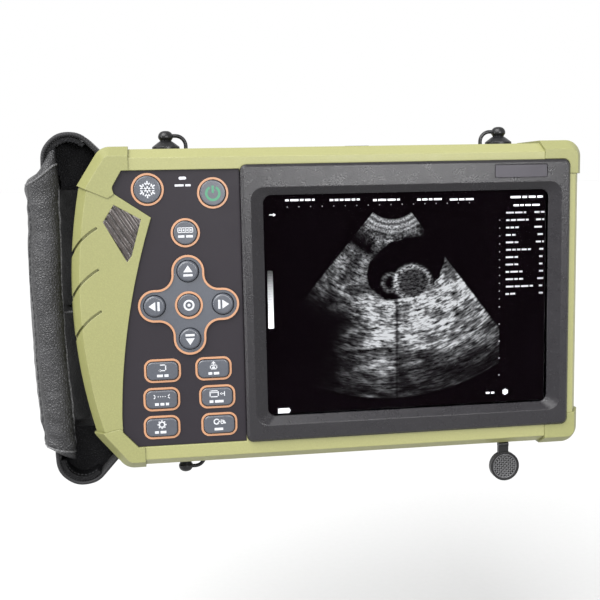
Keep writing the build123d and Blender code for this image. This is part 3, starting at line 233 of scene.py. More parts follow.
def brushed(name, colour, roughness, along=(1, 1, 30)):
    """Brushed or turned metal with fine lines and worn edges."""
    made, tree, shader = new_material(name)
    place = coordinates(tree, along)
    lines = noise_wire(tree, place, 300, 4, 0.7)
    patches = noise_wire(tree, coordinates(tree), 90, 4)
    normal, near_edge = rounded_normal(tree, 0.15 * MM)
    base = blend_colours(tree, lines, tint(colour, 0.85), tint(colour, 1.12))
    base = blend_colours(tree, near_edge * 0.5, base, tint(colour, 1.3))
    tree.links.new(base, shader.inputs["Base Color"])
    tree.links.new(((lines - 0.5) * 0.2 + (patches - 0.5) * 0.15 + roughness).clamp().socket,
                   shader.inputs["Roughness"])
    shader.inputs["Metallic"].default_value = 1.0
    add_bump(tree, shader, lines, 0.01 * MM, 0.6, normal)
    return made


def leather(name, colour, shine=0.36, specular=0.42):
    """Grained leather: pebbles with creases between them, and patches worn paler."""
    made, tree, shader = new_material(name)
    place = coordinates(tree)
    warp = noise_wire(tree, place, 300, 3)
    pebbles = cells_wire(tree, place, 950).smooth(0.0, 0.32)
    small = cells_wire(tree, place, 2300).smooth(0.0, 0.3)
    patches = noise_wire(tree, place, 70, 4, 0.6)
    relief = pebbles * 0.65 + small * 0.2 + warp * 0.3
    base = blend_colours(tree, relief.smooth(0.35, 1.0), tint(colour, 0.45), tint(colour, 1.25))
    base = blend_colours(tree, patches.smooth(0.45, 0.75) * 0.45, base, tint(colour, 2.0))
    tree.links.new(base, shader.inputs["Base Color"])
    tree.links.new(((patches - 0.5) * 0.3 - (relief - 0.6) * 0.12 + shine).clamp().socket,
                   shader.inputs["Roughness"])
    shader.inputs["Specular IOR Level"].default_value = specular
    add_bump(tree, shader, relief, 0.22 * MM, 1.0)
    return made


def woven(name, colour):
    """Nylon webbing: over-and-under ribs across the strap, from the length and width in its UV map."""
    made, tree, shader = new_material(name)
    split = tree.nodes.new("ShaderNodeSeparateXYZ")
    tree.links.new(coordinates(tree, kind="UV"), split.inputs[0])
    along = Wire(tree, split.outputs["X"])
    across = Wire(tree, split.outputs["Y"])

    def wave(place, pitch):
        return (place * (2 * math.pi / pitch)).math("SINE")

    yarn = (wave(along, PICK_PITCH) * wave(across, END_PITCH)) * 0.5 + 0.5
    strands = wave(across, STRAND_PITCH) * 0.5 + 0.5
    fuzz = noise_wire(tree, coordinates(tree), 2400, 3)
    relief = yarn * 0.7 + strands * 0.2 + fuzz * 0.25
    base = blend_colours(tree, relief.smooth(0.2, 1.1), tint(colour, 0.35), tint(colour, 1.9))
    tree.links.new(base, shader.inputs["Base Color"])
    tree.links.new((0.75 - relief * 0.22).clamp().socket, shader.inputs["Roughness"])
    shader.inputs["Specular IOR Level"].default_value = 0.25
    shader.inputs["Sheen Weight"].default_value = 0.1
    shader.inputs["Sheen Roughness"].default_value = 0.4
    add_bump(tree, shader, relief, 0.22 * MM, 1.0)
    return made


def printed(name, colour, glow=0.0, roughness=0.5):
    """Printed ink, a little uneven, which may glow."""
    made, tree, shader = new_material(name)
    patchy = noise_wire(tree, coordinates(tree), 1200, 4, 0.7)
    base = blend_colours(tree, patchy.smooth(0.3, 0.7), tint(colour, 0.82), colour)
    tree.links.new(base, shader.inputs["Base Color"])
    tree.links.new(((patchy - 0.5) * 0.3 + roughness).clamp().socket, shader.inputs["Roughness"])
    add_bump(tree, shader, patchy, 0.005 * MM, 0.5)
    if glow:
        tree.links.new(base, shader.inputs["Emission Color"])
        shader.inputs["Emission Strength"].default_value = glow
    return made


def coated_glass():
    """Clear cover glass with faint smears. A low IOR stands for its anti-reflection coat."""
    made, tree, shader = new_material("cover_glass_coated")
    smears = noise_wire(tree, coordinates(tree), 60, 5, 0.65)
    tree.links.new((smears.smooth(0.5, 0.8) * 0.05 + 0.015).socket, shader.inputs["Roughness"])
    shader.inputs["Base Color"].default_value = (0.97, 0.97, 0.98, 1)
    shader.inputs["Transmission Weight"].default_value = 1.0
    shader.inputs["IOR"].default_value = 1.03
    return made


def circuit_board():
    """Green solder mask with lighter tracks."""
    made, tree, shader = new_material("board_green")
    place = coordinates(tree)
    tracks = cells_wire(tree, place, 260).smooth(0.06, 0.02)
    cloud = noise_wire(tree, place, 500, 2)
    base = blend_colours(tree, cloud, (0.012, 0.10, 0.04), (0.02, 0.15, 0.06))
    base = blend_colours(tree, tracks * 0.6, base, (0.08, 0.28, 0.10))
    tree.links.new(base, shader.inputs["Base Color"])
    tree.links.new((0.42 - tracks * 0.12).socket, shader.inputs["Roughness"])
    add_bump(tree, shader, tracks, 0.03 * MM)
    return made


# ---------------- colours and finishes

OLIVE = (0.176, 0.175, 0.070)
OLIVE_SOFT = (0.148, 0.149, 0.055)
OLIVE_WORN = (0.30, 0.295, 0.15)
DARK_GREY = (0.0118, 0.0098, 0.0128)
BLUE_GREY = (0.036, 0.040, 0.050)
ORANGE = (0.275, 0.138, 0.072)
INK_BLACK = (0.006, 0.006, 0.007)

finishes = {
    "olive_shell": moulded("olive_shell_finish", OLIVE, 0.46, 2200, 0.035, OLIVE_WORN, 0.05, 0.5, specular=0.45),
    "olive_rubber": moulded("olive_rubber_finish", OLIVE_SOFT, 0.50, 1700, 0.05, OLIVE_WORN, 0.06, 0.45,
                            specular=0.45),
    # The insert's pale edge colour (0.62, 0.56, 0.54) over a wide edge is a painted highlight along its ribs, not
    # wear.
    "insert_grey": moulded("insert_finish_painted_highlight", (0.022, 0.017, 0.015), 0.32, 3000, 0.02, (0.62, 0.56, 0.54), 0.1, 0.5,
                           specular=0.45),
    "keypad_grey": moulded("keypad_finish", DARK_GREY, 0.48, 3200, 0.02, (0.04, 0.036, 0.04), 0.08, 0.2,
                           specular=0.17),
    "pad_blue_grey": moulded("island_finish", BLUE_GREY, 0.40, 3200, 0.015, (0.12, 0.13, 0.15), 0.08, 0.25,
                             specular=0.5),
    "ring_orange": moulded("ring_finish", ORANGE, 0.36, 2600, 0.02, (0.5, 0.30, 0.18), 0.12, 0.12),
    "key_grey": moulded("key_finish", BLUE_GREY, 0.33, 3000, 0.015, (0.14, 0.15, 0.17), 0.08, 0.3, specular=0.55),
    "bezel_grey": moulded("bezel_finish", (0.0065, 0.0058, 0.0075), 0.30, 1500, 0.10, (0.05, 0.047, 0.05), 0.08,
                          0.5, specular=0.36, speck=(0.020, 0.019, 0.022)),
    "badge": brushed("badge_finish", (0.045, 0.043, 0.048), 0.42, (30, 1, 1)),
    "foam": moulded("foam_finish", INK_BLACK, 0.9, 900, 0.1, specular=0.2),
    "display": moulded("display_finish", INK_BLACK, 0.3, 2000, 0.01, specular=0.2),
    "mat_rubber": moulded("mat_finish", (0.12, 0.12, 0.125), 0.6, 1500, 0.03),
    "black_plastic": moulded("black_plastic_finish", (0.012, 0.012, 0.013), 0.45, 1800, 0.04, (0.05, 0.05, 0.05),
                             specular=0.4),
    "black_rubber": moulded("black_rubber_finish", (0.004, 0.004, 0.0045), 0.36, 1500, 0.04, (0.045, 0.045, 0.048),
                            specular=0.3),
    "battery_wrap": moulded("battery_finish", (0.015, 0.03, 0.08), 0.35, 2000, 0.01),
    "steel": brushed("steel_finish", (0.40, 0.40, 0.41), 0.28, (1, 25, 1)),
    "socket_metal": brushed("socket_finish", (0.45, 0.45, 0.46), 0.22, (1, 1, 25)),
    "lamp": moulded("lamp_finish", (0.36, 0.36, 0.39), 0.22, 2000, 0.01),
    "leather": leather("leather_black", (0.013, 0.013, 0.0145)),
    "webbing": woven("webbing_black", (0.009, 0.009, 0.010)),
    "silver_label": brushed("label_finish", (0.32, 0.32, 0.33), 0.38, (30, 1, 1)),
    "circuit_board": circuit_board(),
    "glass": coated_glass(),
}
# Lighter grey rubber for the open cap's ribs and bead: the light colour is a painted highlight on them.
RIB_RUBBER_PAINTED_HIGHLIGHT = moulded("rib_rubber_painted_highlight", (0.075, 0.075, 0.078), 0.30, 1500, 0.03, (0.16, 0.16, 0.165), 0.2, 0.2)
# Smooth dark lining leather for the strap's tongues, the loop gussets and the sleeve's inner face; its near-black
# colour is also painted shade for these faces between the strap and the case.
LINING_PAINTED_SHADE = leather("sleeve_lining_painted_shade", (0.004, 0.004, 0.0048), 0.62, 0.12)
INK_WHITE = printed("ink_white", (0.40, 0.41, 0.43))
INK_GREEN = printed("ink_green", (0.032, 0.16, 0.085))
LIT_WHITE = printed("lit_white", (0.75, 0.75, 0.78), 0.75)
LIT_DIM = printed("lit_dim", (0.40, 0.40, 0.42), 0.45)
THREAD = printed("thread_grey", (0.03, 0.03, 0.033), 0.0, 0.6)
# Pale leather for the rolled lining edges and the hem piping: the pale colour is a painted highlight on these
# edges.
PIPING_PAINTED_HIGHLIGHT = leather("piping_leather_painted_highlight", (0.09, 0.09, 0.093), 0.33)


def dress_cad():
    """Gives every CAD node the finish of its record slot, and the strap's tongues the dark lining leather, whose
    near-black colour is partly painted shade.
    """
    for part in frame["record"]["subparts"]:
        node = frame["nodes"][part["node"]]
        node.data.materials.clear()
        dark = part["node"] == "strap_tongues"
        node.data.materials.append(LINING_PAINTED_SHADE if dark else finishes[part["material_slot"]])


# ---------------- mesh helpers

def make_piece(name, points, faces, material, body):
    """A smooth mesh piece in the row frame that rides on a body."""
    mesh = bpy.data.meshes.new(name)
    mesh.from_pydata([tuple(p) for p in points], [], faces)
    mesh.validate()
    piece = bpy.data.objects.new(name, mesh)
    bpy.context.scene.collection.objects.link(piece)
    mesh.materials.append(material)
    for face in mesh.polygons:
        face.use_smooth = True
    tidy = bmesh.new()
    tidy.from_mesh(mesh)
    bmesh.ops.recalc_face_normals(tidy, faces=tidy.faces)
    tidy.to_mesh(mesh)
    tidy.free()
    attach(piece, body)
    return piece


def grid_faces(rows, columns, start=0):
    """Quads over rows by columns of points, numbered row by row, with each row closed on itself."""
    faces = []
    for row in range(rows - 1):
        for column in range(columns):
            right = (column + 1) % columns
            here, below = start + row * columns, start + (row + 1) * columns
            faces.append((here + column, here + right, below + right, below + column))
    return faces


def tube(points, radius, sides, start, taper):
    """Points and faces of a round tube along a line of points. Its closed ends are scaled by taper."""
    made = []
    ahead = None
    for place, point in enumerate(points):
        before = points[max(place - 1, 0)]
        after = points[min(place + 1, len(points) - 1)]
        way = (after - before).normalized()
        if ahead is None:
            ahead = way.orthogonal().normalized()
        ahead = (ahead - ahead.dot(way) * way).normalized()
        beside = way.cross(ahead)
        size = radius * (taper if place in (0, len(points) - 1) else 1)
        for step in range(sides):
            angle = 2 * math.pi * step / sides
            made.append(point + (ahead * math.cos(angle) + beside * math.sin(angle)) * size)
    faces = grid_faces(len(points), sides, start)
    faces.append(tuple(start + step for step in range(sides)))
    faces.append(tuple(start + (len(points) - 1) * sides + step for step in range(sides)))
    return made, faces


def tubes(name, lines, radius, material, body, sides=8, taper=1.0):
    """Several tubes in one piece."""
    points, faces = [], []
    for line in lines:
        more, more_faces = tube(line, radius, sides, len(points), taper)
        points += more
        faces += more_faces
    return make_piece(name, points, faces, material, body)


# ---------------- flat marks: icons and bars

def bar(x, z, width, height, turn=0.0):
    """An oblong outline, in millimetres, turned by an angle in degrees."""
    c, s = math.cos(math.radians(turn)), math.sin(math.radians(turn))
    across, up = width / 2, height / 2
    corners = ((-across, -up), (across, -up), (across, up), (-across, up))
    return [(x + a * c - b * s, z + a * s + b * c) for a, b in corners]


def disc(x, z, radius, sides=28):
    angles = [2 * math.pi * k / sides for k in range(sides)]
    return [(x + radius * math.cos(a), z + radius * math.sin(a)) for a in angles]


def arc_band(x, z, radius, width, start, end, steps=20):
    """A band that follows an arc, in degrees."""
    angles = [math.radians(start + (end - start) * k / steps) for k in range(steps + 1)]
    outer = [(x + (radius + width / 2) * math.cos(a), z + (radius + width / 2) * math.sin(a)) for a in angles]
    inner = [(x + (radius - width / 2) * math.cos(a), z + (radius - width / 2) * math.sin(a)) for a in angles]
    return outer + inner[::-1]


def ring(x, z, radius, width):
    """A full ring as two half bands."""
    return [arc_band(x, z, radius, width, start, start + 180) for start in (0, 180)]


def stroke(points, width):
    """Bars along a line of points."""
    made = []
    for (x0, z0), (x1, z1) in zip(points, points[1:]):
        length = math.hypot(x1 - x0, z1 - z0) + width * 0.9
        turn = math.degrees(math.atan2(z1 - z0, x1 - x0))
        made.append(bar((x0 + x1) / 2, (z0 + z1) / 2, length, width, turn))
    return made


def word(x, z, width, height, seed, letter=0.62):
    """A row of plain short bars, all of one height, in place of a word."""
    draw = random.Random(seed)
    made = []
    left, right = x - width / 2, x + width / 2
    while left < right - letter:
        size = min(letter * draw.choice((2.0, 3.0, 4.5)), right - left)
        made.append(bar(left + size / 2, z, size, height * 0.5))
        left += size + letter * 0.8
    return made


MARK_SINK = 0.02 * MM


def marks(name, shapes, centre, front, material, body, thick=0.05):
    """Flat shapes, drawn as outlines in millimetres from a centre, that stand on a surface facing -Y."""
    mesh = bmesh.new()
    for shape in shapes:
        places = [((centre[0] + x) * MM, (centre[1] + z) * MM) for x, z in shape]
        fronts = [mesh.verts.new((x, front - thick * MM, z)) for x, z in places]
        backs = [mesh.verts.new((v.co.x, front + MARK_SINK, v.co.z)) for v in fronts]
        mesh.faces.new(fronts)
        mesh.faces.new(backs[::-1])
        for k in range(len(shape)):
            after = (k + 1) % len(shape)
            mesh.faces.new((fronts[after], fronts[k], backs[k], backs[after]))
    bmesh.ops.recalc_face_normals(mesh, faces=mesh.faces)
    bmesh.ops.triangulate(mesh, faces=[f for f in mesh.faces if len(f.verts) > 4])
    data = bpy.data.meshes.new(name)
    mesh.to_mesh(data)
    mesh.free()
    piece = bpy.data.objects.new(name, data)
    bpy.context.scene.collection.objects.link(piece)
    data.materials.append(material)
    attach(piece, body)
    return piece


def middle(node):
    """A node's centre in X and Z, in millimetres, and its front in metres."""
    low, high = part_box(node)
    return ((low.x + high.x) / 2 / MM, (low.z + high.z) / 2 / MM), low.y


def snowflake(size, width):
    made = []
    for k in range(6):
        angle = math.radians(60 * k + 90)
        c, s = math.cos(angle), math.sin(angle)
        made += stroke([(0, 0), (size * c, size * s)], width)
        for side in (-1, 1):
            bend = angle + side * math.radians(48)
            root = (size * 0.52 * c, size * 0.52 * s)
            tip = (root[0] + size * 0.38 * math.cos(bend), root[1] + size * 0.38 * math.sin(bend))
            made += stroke([root, tip], width * 0.9)
    return made


def film_strip(width, height):
    made = [bar(0, height / 2, width, 0.32), bar(0, -height / 2, width, 0.32)]
    made += [bar(-width / 2 + width * k / 4, 0, 0.3, height) for k in range(5)]
    made += [disc(-width * 3 / 8 + width * k / 4, 0, 0.34, 12) for k in range(4)]
    return made


def arrow_and_bar(turn):
    """A triangle with a bar behind it, pointing up and then turned."""
    shapes = [[(-1.75, -0.3), (1.75, -0.3), (0, 2.3)], bar(0, -1.5, 3.5, 0.85)]
    c, s = math.cos(math.radians(turn)), math.sin(math.radians(turn))
    return [[(x * c - z * s, x * s + z * c) for x, z in shape] for shape in shapes]


def shifted(shapes, x, z):
    return [[(a + x, b + z) for a, b in shape] for shape in shapes]


def gear(radius):
    width = 0.42
    reach = radius + 0.35
    made = ring(0, 0, radius, width)
    for k in range(8):
        angle = math.radians(45 * k)
        made.append(bar(reach * math.cos(angle), reach * math.sin(angle), width, width, 45 * k))
    return made


KEY_ICONS = {
    "exit_button": (
        stroke([(-0.6, 1.0), (1.0, 1.0), (1.0, -0.8), (-0.9, -0.8)], 0.34)
        + [[(-1.3, -0.8), (-0.6, -0.35), (-0.6, -1.25)]]
    ),
    "save_button": (
        stroke([(-1.0, 0.2), (-1.0, -1.0), (1.0, -1.0), (1.0, 0.2), (-1.0, 0.2)], 0.3)
        + [bar(0, -0.5, 0.9, 0.5), [(-0.7, 0.75), (0.7, 0.75), (0, 1.5)], bar(0, 0.5, 0.3, 0.5)]
    ),
    "measure_button": (
        [disc(-1.1 + 0.73 * k, 0, 0.17, 10) for k in range(4)]
        + stroke([(-2.4, 0.55), (-1.9, 0.0), (-2.4, -0.55)], 0.3)
        + stroke([(2.4, 0.55), (1.9, 0.0), (2.4, -0.55)], 0.3)
    ),
    "review_button": (
        stroke([(-2.3, 1.0), (-2.3, -0.9), (0.3, -0.9), (0.3, 1.0), (-2.3, 1.0)], 0.32)
        + [bar(-1.0, 0.45, 2.4, 0.25), [(0.75, 0.0), (1.5, 0.45), (1.5, -0.45)]]
        + stroke([(1.3, 0), (2.0, 0)], 0.25)
        + [bar(2.3, 0, 0.28, 1.5)]
    ),
    "setup_button": gear(0.85),
    "obstetric_button": (
        [arc_band(-0.9, 0, 0.8, 0.36, 30, 330)]
        + stroke([(-0.5, -0.4), (0.4, 0.4), (1.1, 0.5), (1.6, 0.0)], 0.34)
        + ring(0.9, -0.3, 0.42, 0.28)
        + [disc(1.75, -0.5, 0.3, 14)]
    ),
}
ICON_GROWTH = 1.22
ICON_RISE = 1.2
WORD_DROP = 1.8
WORD_HEIGHT = 2.0
WORD_LETTER = 0.75
WORD_WIDTHS = {
    "exit_button": 4.4,
    "save_button": 4.2,
    "measure_button": 5.4,
    "review_button": 6.2,
    "setup_button": 5.6,
    "obstetric_button": 4.0,
}


def print_keys():
    """The icon on each key, with short bars where a word would be."""
    round_icons = {
        "freeze_button": (snowflake(3.0, 0.52), INK_WHITE),
        "power_button": ([arc_band(0, -0.15, 2.5, 0.95, 118, 422, 30), bar(0, 1.4, 0.9, 2.8)], INK_GREEN),
        "cine_button": (shifted(film_strip(5.6, 1.7), 0, 1.05) + word(0, -1.35, 5.6, 1.8, 11, 0.8), INK_WHITE),
        "up_button": (arrow_and_bar(0), INK_WHITE),
        "left_button": (arrow_and_bar(90), INK_WHITE),
        "down_button": (arrow_and_bar(180), INK_WHITE),
        "right_button": (arrow_and_bar(-90), INK_WHITE),
        "ok_button": (ring(0, 0, 1.75, 0.7) + [disc(0, 0, 0.6)], INK_WHITE),
    }
    for key, (shapes, ink) in round_icons.items():
        centre, front = middle(key)
        marks(key.replace("_button", "_icon"), shapes, centre, front, ink, key)
    for seed, (key, shapes) in enumerate(KEY_ICONS.items()):
        centre, front = middle(key)
        lettering = word(0, -WORD_DROP, WORD_WIDTHS[key], WORD_HEIGHT, seed, WORD_LETTER)
        larger = [[(a * ICON_GROWTH, b * ICON_GROWTH) for a, b in shape] for shape in shapes]
        shapes = shifted(larger, 0, ICON_RISE) + lettering
        marks(key.replace("_button", "_icon"), shapes, centre, front, INK_WHITE, key)
    lamp_centre, _ = middle("power_lamp_lens")
    _, plate_front = middle("keypad_plate")
    marks("lamp_caption", word(0, -2.7, 6.0, 1.6, 5, 0.75), lamp_centre, plate_front, INK_WHITE, CASE)


# ---------------- the picture on the display

APEX = (-5.9, 45.4)
SECTOR_LEFT = math.radians(-40.6)
SECTOR_RIGHT = math.radians(37.7)
SECTOR_NEAR = 12.3
SECTOR_FAR = 85.0
SECTOR_EDGE_X = 38.6


def scan_material(centre_x):
    """A made-up sector scan: speckle in depth and angle, near bands, a dark pool with a round body, streaks.

    Places are in millimetres from the picture's middle."""
    made, tree, shader = new_material("scan_picture")
    split = tree.nodes.new("ShaderNodeSeparateXYZ")
    tree.links.new(coordinates(tree, (1000, 1000, 1000)), split.inputs[0])
    x = Wire(tree, split.outputs["X"]) - centre_x
    z = Wire(tree, split.outputs["Z"])
    right = x - APEX[0]
    down = APEX[1] - z
    depth = (right * right + down * down).power(0.5)
    angle = right.math("ARCTAN2", down)

    def polar_noise(sideways, along, scale, detail, rough, shift=0.0):
        join = tree.nodes.new("ShaderNodeCombineXYZ")
        for place, wire in enumerate((angle * sideways, depth * along + shift)):
            tree.links.new(wire.socket, join.inputs[place])
        return noise_wire(tree, join.outputs[0], scale, detail, rough)

    fine = polar_noise(22, 1.25, 1.0, 2.0, 0.6).smooth(0.34, 0.72)
    lines = polar_noise(9, 0.85, 1.0, 3.0, 0.65, 40).smooth(0.36, 0.70)
    patches = polar_noise(3.2, 0.11, 1.0, 2.0, 0.5, 9)
    blotches = polar_noise(7, 0.20, 1.0, 3.0, 0.6, 17).smooth(0.40, 0.64)
    wobble = (polar_noise(6, 0.25, 1.0, 3.0, 0.6, 3) - 0.5) * 2.0

    inside = (angle.smooth(SECTOR_LEFT, SECTOR_LEFT + 0.02) * angle.smooth(SECTOR_RIGHT, SECTOR_RIGHT - 0.02)
              * depth.smooth(SECTOR_NEAR, SECTOR_NEAR + 0.3) * depth.smooth(SECTOR_FAR, SECTOR_FAR - 0.5)
              * x.smooth(SECTOR_EDGE_X, SECTOR_EDGE_X - 0.6))

    near = depth.smooth(18.6, 16.8) * ((depth * (2 * math.pi / 2.15)).math("SINE") * 0.35 + 0.62)
    after_near = depth.bell(19.5, 3.2) * 0.38 * (1.0 - x.smooth(2, 9))
    lobe = ((x + 9.5) * (x + 9.5) / 28 + (z - 21.5) * (z - 21.5) / 14 + wobble * 0.4).smooth(1.2, 0.7) * 0.30
    left_flank = angle.smooth(-0.10, -0.42) * depth.smooth(26, 31) * depth.smooth(62, 40) * 0.46
    right_flank = angle.smooth(0.33, 0.47) * depth.smooth(29, 34) * depth.smooth(66, 50) * 0.42

    pool_x, pool_z = x + 0.8, z - 13.2
    pool = pool_x * pool_x / 245 + pool_z * pool_z / 150 - pool_x * pool_z / 420 + wobble * 0.22
    pool = pool.smooth(1.04, 0.92)
    body_x, body_z = x - 2.0, z - 7.4
    body_away = (body_x * body_x * 0.92 + body_z * body_z * 1.12).power(0.5) + wobble * 0.5
    body = body_away.smooth(8.3, 7.2)
    rim = body_away.bell(6.9, 0.95) * (0.95 - body_x * 0.03 + body_z * 0.03)
    small_x, small_z = x + 7.0, z - 7.6
    small_away = (small_x * small_x + small_z * small_z).power(0.5) + wobble * 0.5
    small = small_away.bell(3.2, 0.8) * 0.45

    below = depth.smooth(39, 45)
    glow = (below * depth.smooth(82, 58) * angle.smooth(-0.42, -0.10) * (0.55 + patches * 0.75)
            * (1.0 - angle.smooth(0.30, 0.62) * 0.45))
    floor_part = below * 0.20 * angle.smooth(-0.62, -0.05) * (0.6 + patches * 0.8)
    left_dark = 1.0 - angle.smooth(-0.12, -0.42) * depth.smooth(46, 58) * 0.85
    streak = 1.0 - (x + 4.5 - (z - 2) * 0.006).bell(0, 0.75) * z.smooth(3, -1) * 0.72
    lower_dark = 1.0 - x.smooth(-4.6, -3.6) * z.smooth(-19, -22) * 0.55
    band_dark = 1.0 - (z + 18.6 - x * 0.06).bell(0, 1.0) * x.smooth(1, -4) * 0.65
    spots = ((x + 12.6).bell(0, 1.9) * (z + 14.6).bell(0, 0.55) + (x + 0.2).bell(0, 2.0) * (z + 17.8).bell(0, 0.6)
             + (x + 23.5).bell(0, 2.6) * (z + 12.6).bell(0, 1.1) * 0.7)

    tissue = (left_flank + right_flank + lobe + after_near + glow + floor_part) * (fine * 0.62 + lines * 0.62)
    tissue = tissue * (blotches * 1.15 + 0.42) * streak * left_dark * lower_dark * band_dark * (1.0 - pool)
    shown = near * (fine * 0.75 + 0.35) + tissue * 1.25 + spots * lines
    shown = shown + (body * 0.20 + rim * 0.62 + small) * (fine * 1.1 + 0.1) * (pool + body).clamp()
    level = (shown * inside).clamp()
    light = blend_colours(tree, level.power(1.35), (0.0028, 0.0016, 0.0024), (0.78, 0.80, 0.82))
    tree.links.new(light, shader.inputs["Emission Color"])
    shader.inputs["Emission Strength"].default_value = 0.92
    shader.inputs["Base Color"].default_value = (0.0006, 0.0004, 0.0006, 1)
    shader.inputs["Roughness"].default_value = 0.35
    shader.inputs["Specular IOR Level"].default_value = 0.0
    return made


PICTURE_SIZE = (117.4, 88.8)
PICTURE_CORNER = 3.2
PICTURE_THICK = 0.05
MARK_THICK = 0.03
LINE_TOP = 34.3
LINE_PITCH = 3.0
HEADINGS = (
    (-43.0, 41.3, 11.6, 1),
    (-25.2, 41.0, 12.0, 2),
    (-8.4, 40.6, 10.8, 3),
    (9.6, 40.4, 11.0, 4),
    (22.6, 40.1, 10.2, 5),
)
# Label and value widths of the settings, in letters
SETTINGS = ((8, 5), (9, 4), (6, 5), (4, 3), (5, 4), (10, 2), (6, 2), (5, 2), (7, 2), (7, 3), (12, 2), (5, 2))
GREY_STEPS = 22
GREY_TOP = 13.5
GREY_HEIGHT = 21.8


def rounded_outline(width, height, radius, steps=8):
    corners = ((1, 1, 0), (-1, 1, 90), (-1, -1, 180), (1, -1, 270))
    made = []
    for across, up, start in corners:
        for step in range(steps + 1):
            angle = math.radians(start + 90 * step / steps)
            made.append((across * (width / 2 - radius) + radius * math.cos(angle),
                         up * (height / 2 - radius) + radius * math.sin(angle)))
    return made


def screen_marks(centre, front):
    """Rows of bars, dots and small signs where the display shows its settings, and the scale of greys."""
    bright, dim = [], []
    for x, z, width, seed in HEADINGS:
        bright += word(x, z, width, 1.5, seed, 0.72)
    bright += word(49.6, 40.5, 13.6, 1.7, 6, 0.95)
    bright += word(49.6, 37.2, 11.0, 1.4, 7, 0.75)
    for row, (label, value) in enumerate(SETTINGS):
        z = LINE_TOP - row * LINE_PITCH
        dim += word(40.8 + label * 0.55, z, label * 1.05, 1.35, 20 + row, 0.7)
        dim += word(56.6 - value * 0.3, z, value * 0.85, 1.35, 60 + row, 0.7)
    dim += [disc(38.3, -3.9 - 7.05 * row, 0.28, 10) for row in range(5)]
    dim += [disc(38.3, -0.6 + 3.2 * row, 0.2, 8) for row in range(11)]
    dim += [disc(-48 + 4.6 * column, 38.7, 0.2, 8) for column in range(17)]
    bright += word(34.5, -39.4, 3.6, 1.5, 90, 0.8)
    bright += shifted(snowflake(1.15, 0.34), 41.0, -39.3)
    bright += stroke([(-55.0, 35.8), (-53.2, 35.8)], 0.3) + [[(-53.6, 36.5), (-52.6, 35.8), (-53.6, 35.1)]]
    bright += [bar(-51.2, -42.2, 4.6, 2.0), bar(-48.7, -42.2, 0.4, 0.9)]
    marks("screen_text_bright", bright, centre, front, LIT_WHITE, CASE, MARK_THICK)
    marks("screen_text_dim", dim, centre, front, LIT_DIM, CASE, MARK_THICK)
    for step in range(GREY_STEPS):
        share = step / (GREY_STEPS - 1)
        grey = tint((0.86, 0.87, 0.88), 0.03 + share * 0.97)
        shade = printed(f"grey_step_{step}", grey, 0.1 + 0.8 * share)
        patch = [bar(-55.4, GREY_TOP - share * GREY_HEIGHT, 2.2, 1.0)]
        marks(f"grey_scale_{step}", patch, centre, front, shade, CASE, MARK_THICK)


def build_screen():
    """The lit picture on the display module, and the marks that stand on it."""
    _, front = middle("display_module")
    centre, _ = middle("cover_glass")
    shape = rounded_outline(*PICTURE_SIZE, PICTURE_CORNER)
    marks("lit_picture", [shape], centre, front, scan_material(centre[0]), CASE, PICTURE_THICK)
    screen_marks(centre, front - PICTURE_THICK * MM)


# ---------------- strap: webbing, lining edges, padded sleeve

LOOP_RADIUS = 9.9
WEBBING_THICK = 2.0
EYE_RADIUS = 3.2
GUSSET_THICK = 1.6
GUSSET_INSET = 1.0
GUSSET_STEPS = 24
EYE_TURN = 290
EYE_STEPS = 24
LOOP_STEPS = 30
RUN_STEPS = 60
BAND_STEPS = 20
BAND_INSET = 0.2
BAND_HALF = 0.78
SELVEDGE_BULGE = 0.14
SELVEDGE_INSET = 1.0
SELVEDGE_WIDTH = 0.7
BAND_EDGE = 0.45
ROLL_RADIUS = 0.62
ROLL_INSET = 1.05
ROLL_SINK = 0.1
ROLL_STEPS = 26
STITCH_INSET = 0.85
STITCH_PLACE = 2.0
STITCH_PITCH = 12
STITCH_SHARE = 0.62
STITCH_RADIUS = 0.2


def on_circle(centre, radius, angle):
    return (centre[0] + radius * math.cos(math.radians(angle)), centre[1] + radius * math.sin(math.radians(angle)))


def arc_line(centre, radius, start, turn, steps):
    return [on_circle(centre, radius, start + turn * k / steps) for k in range(steps + 1)]


def loop_places():
    """Loop centres and bars in millimetres, from the CAD boxes, by side: 1 above and -1 below."""
    low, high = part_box("strap_webbing")
    run_x = low.x / MM + WEBBING_THICK / 2
    centre_x = run_x + LOOP_RADIUS
    reach = LOOP_RADIUS + WEBBING_THICK / 2
    bars = {}
    for side, node in ((1, "strap_bar_upper"), (-1, "strap_bar_lower")):
        bars[side], _ = middle(node)
    return {1: (centre_x, high.z / MM - reach), -1: (centre_x, low.z / MM + reach)}, bars


def leave_angle(centre, bar_place, side):
    """The angle, in degrees, at which the strap leaves both the loop and its bar."""
    gap = (bar_place[0] - centre[0], bar_place[1] - centre[1])
    lean = math.degrees(math.atan2(gap[1], gap[0]))
    return lean + side * math.degrees(math.acos((LOOP_RADIUS - EYE_RADIUS) / math.hypot(*gap)))


def strap_line():
    """The strap's centre line: round the upper bar, over the loop, down the run, and round the lower bar."""
    centres, bars = loop_places()
    upper = leave_angle(centres[1], bars[1], 1)
    lower = leave_angle(centres[-1], bars[-1], -1)
    line = arc_line(bars[1], EYE_RADIUS, upper - EYE_TURN, EYE_TURN, EYE_STEPS)
    line += arc_line(centres[1], LOOP_RADIUS, upper, 180 - upper, LOOP_STEPS)
    top = line[-1][1]
    line += [(line[-1][0], top + (centres[-1][1] - top) * k / RUN_STEPS) for k in range(1, RUN_STEPS)]
    line += arc_line(centres[-1], LOOP_RADIUS, 180, 180 + lower, LOOP_STEPS)
    line += arc_line(bars[-1], EYE_RADIUS, lower, EYE_TURN, EYE_STEPS)
    return line


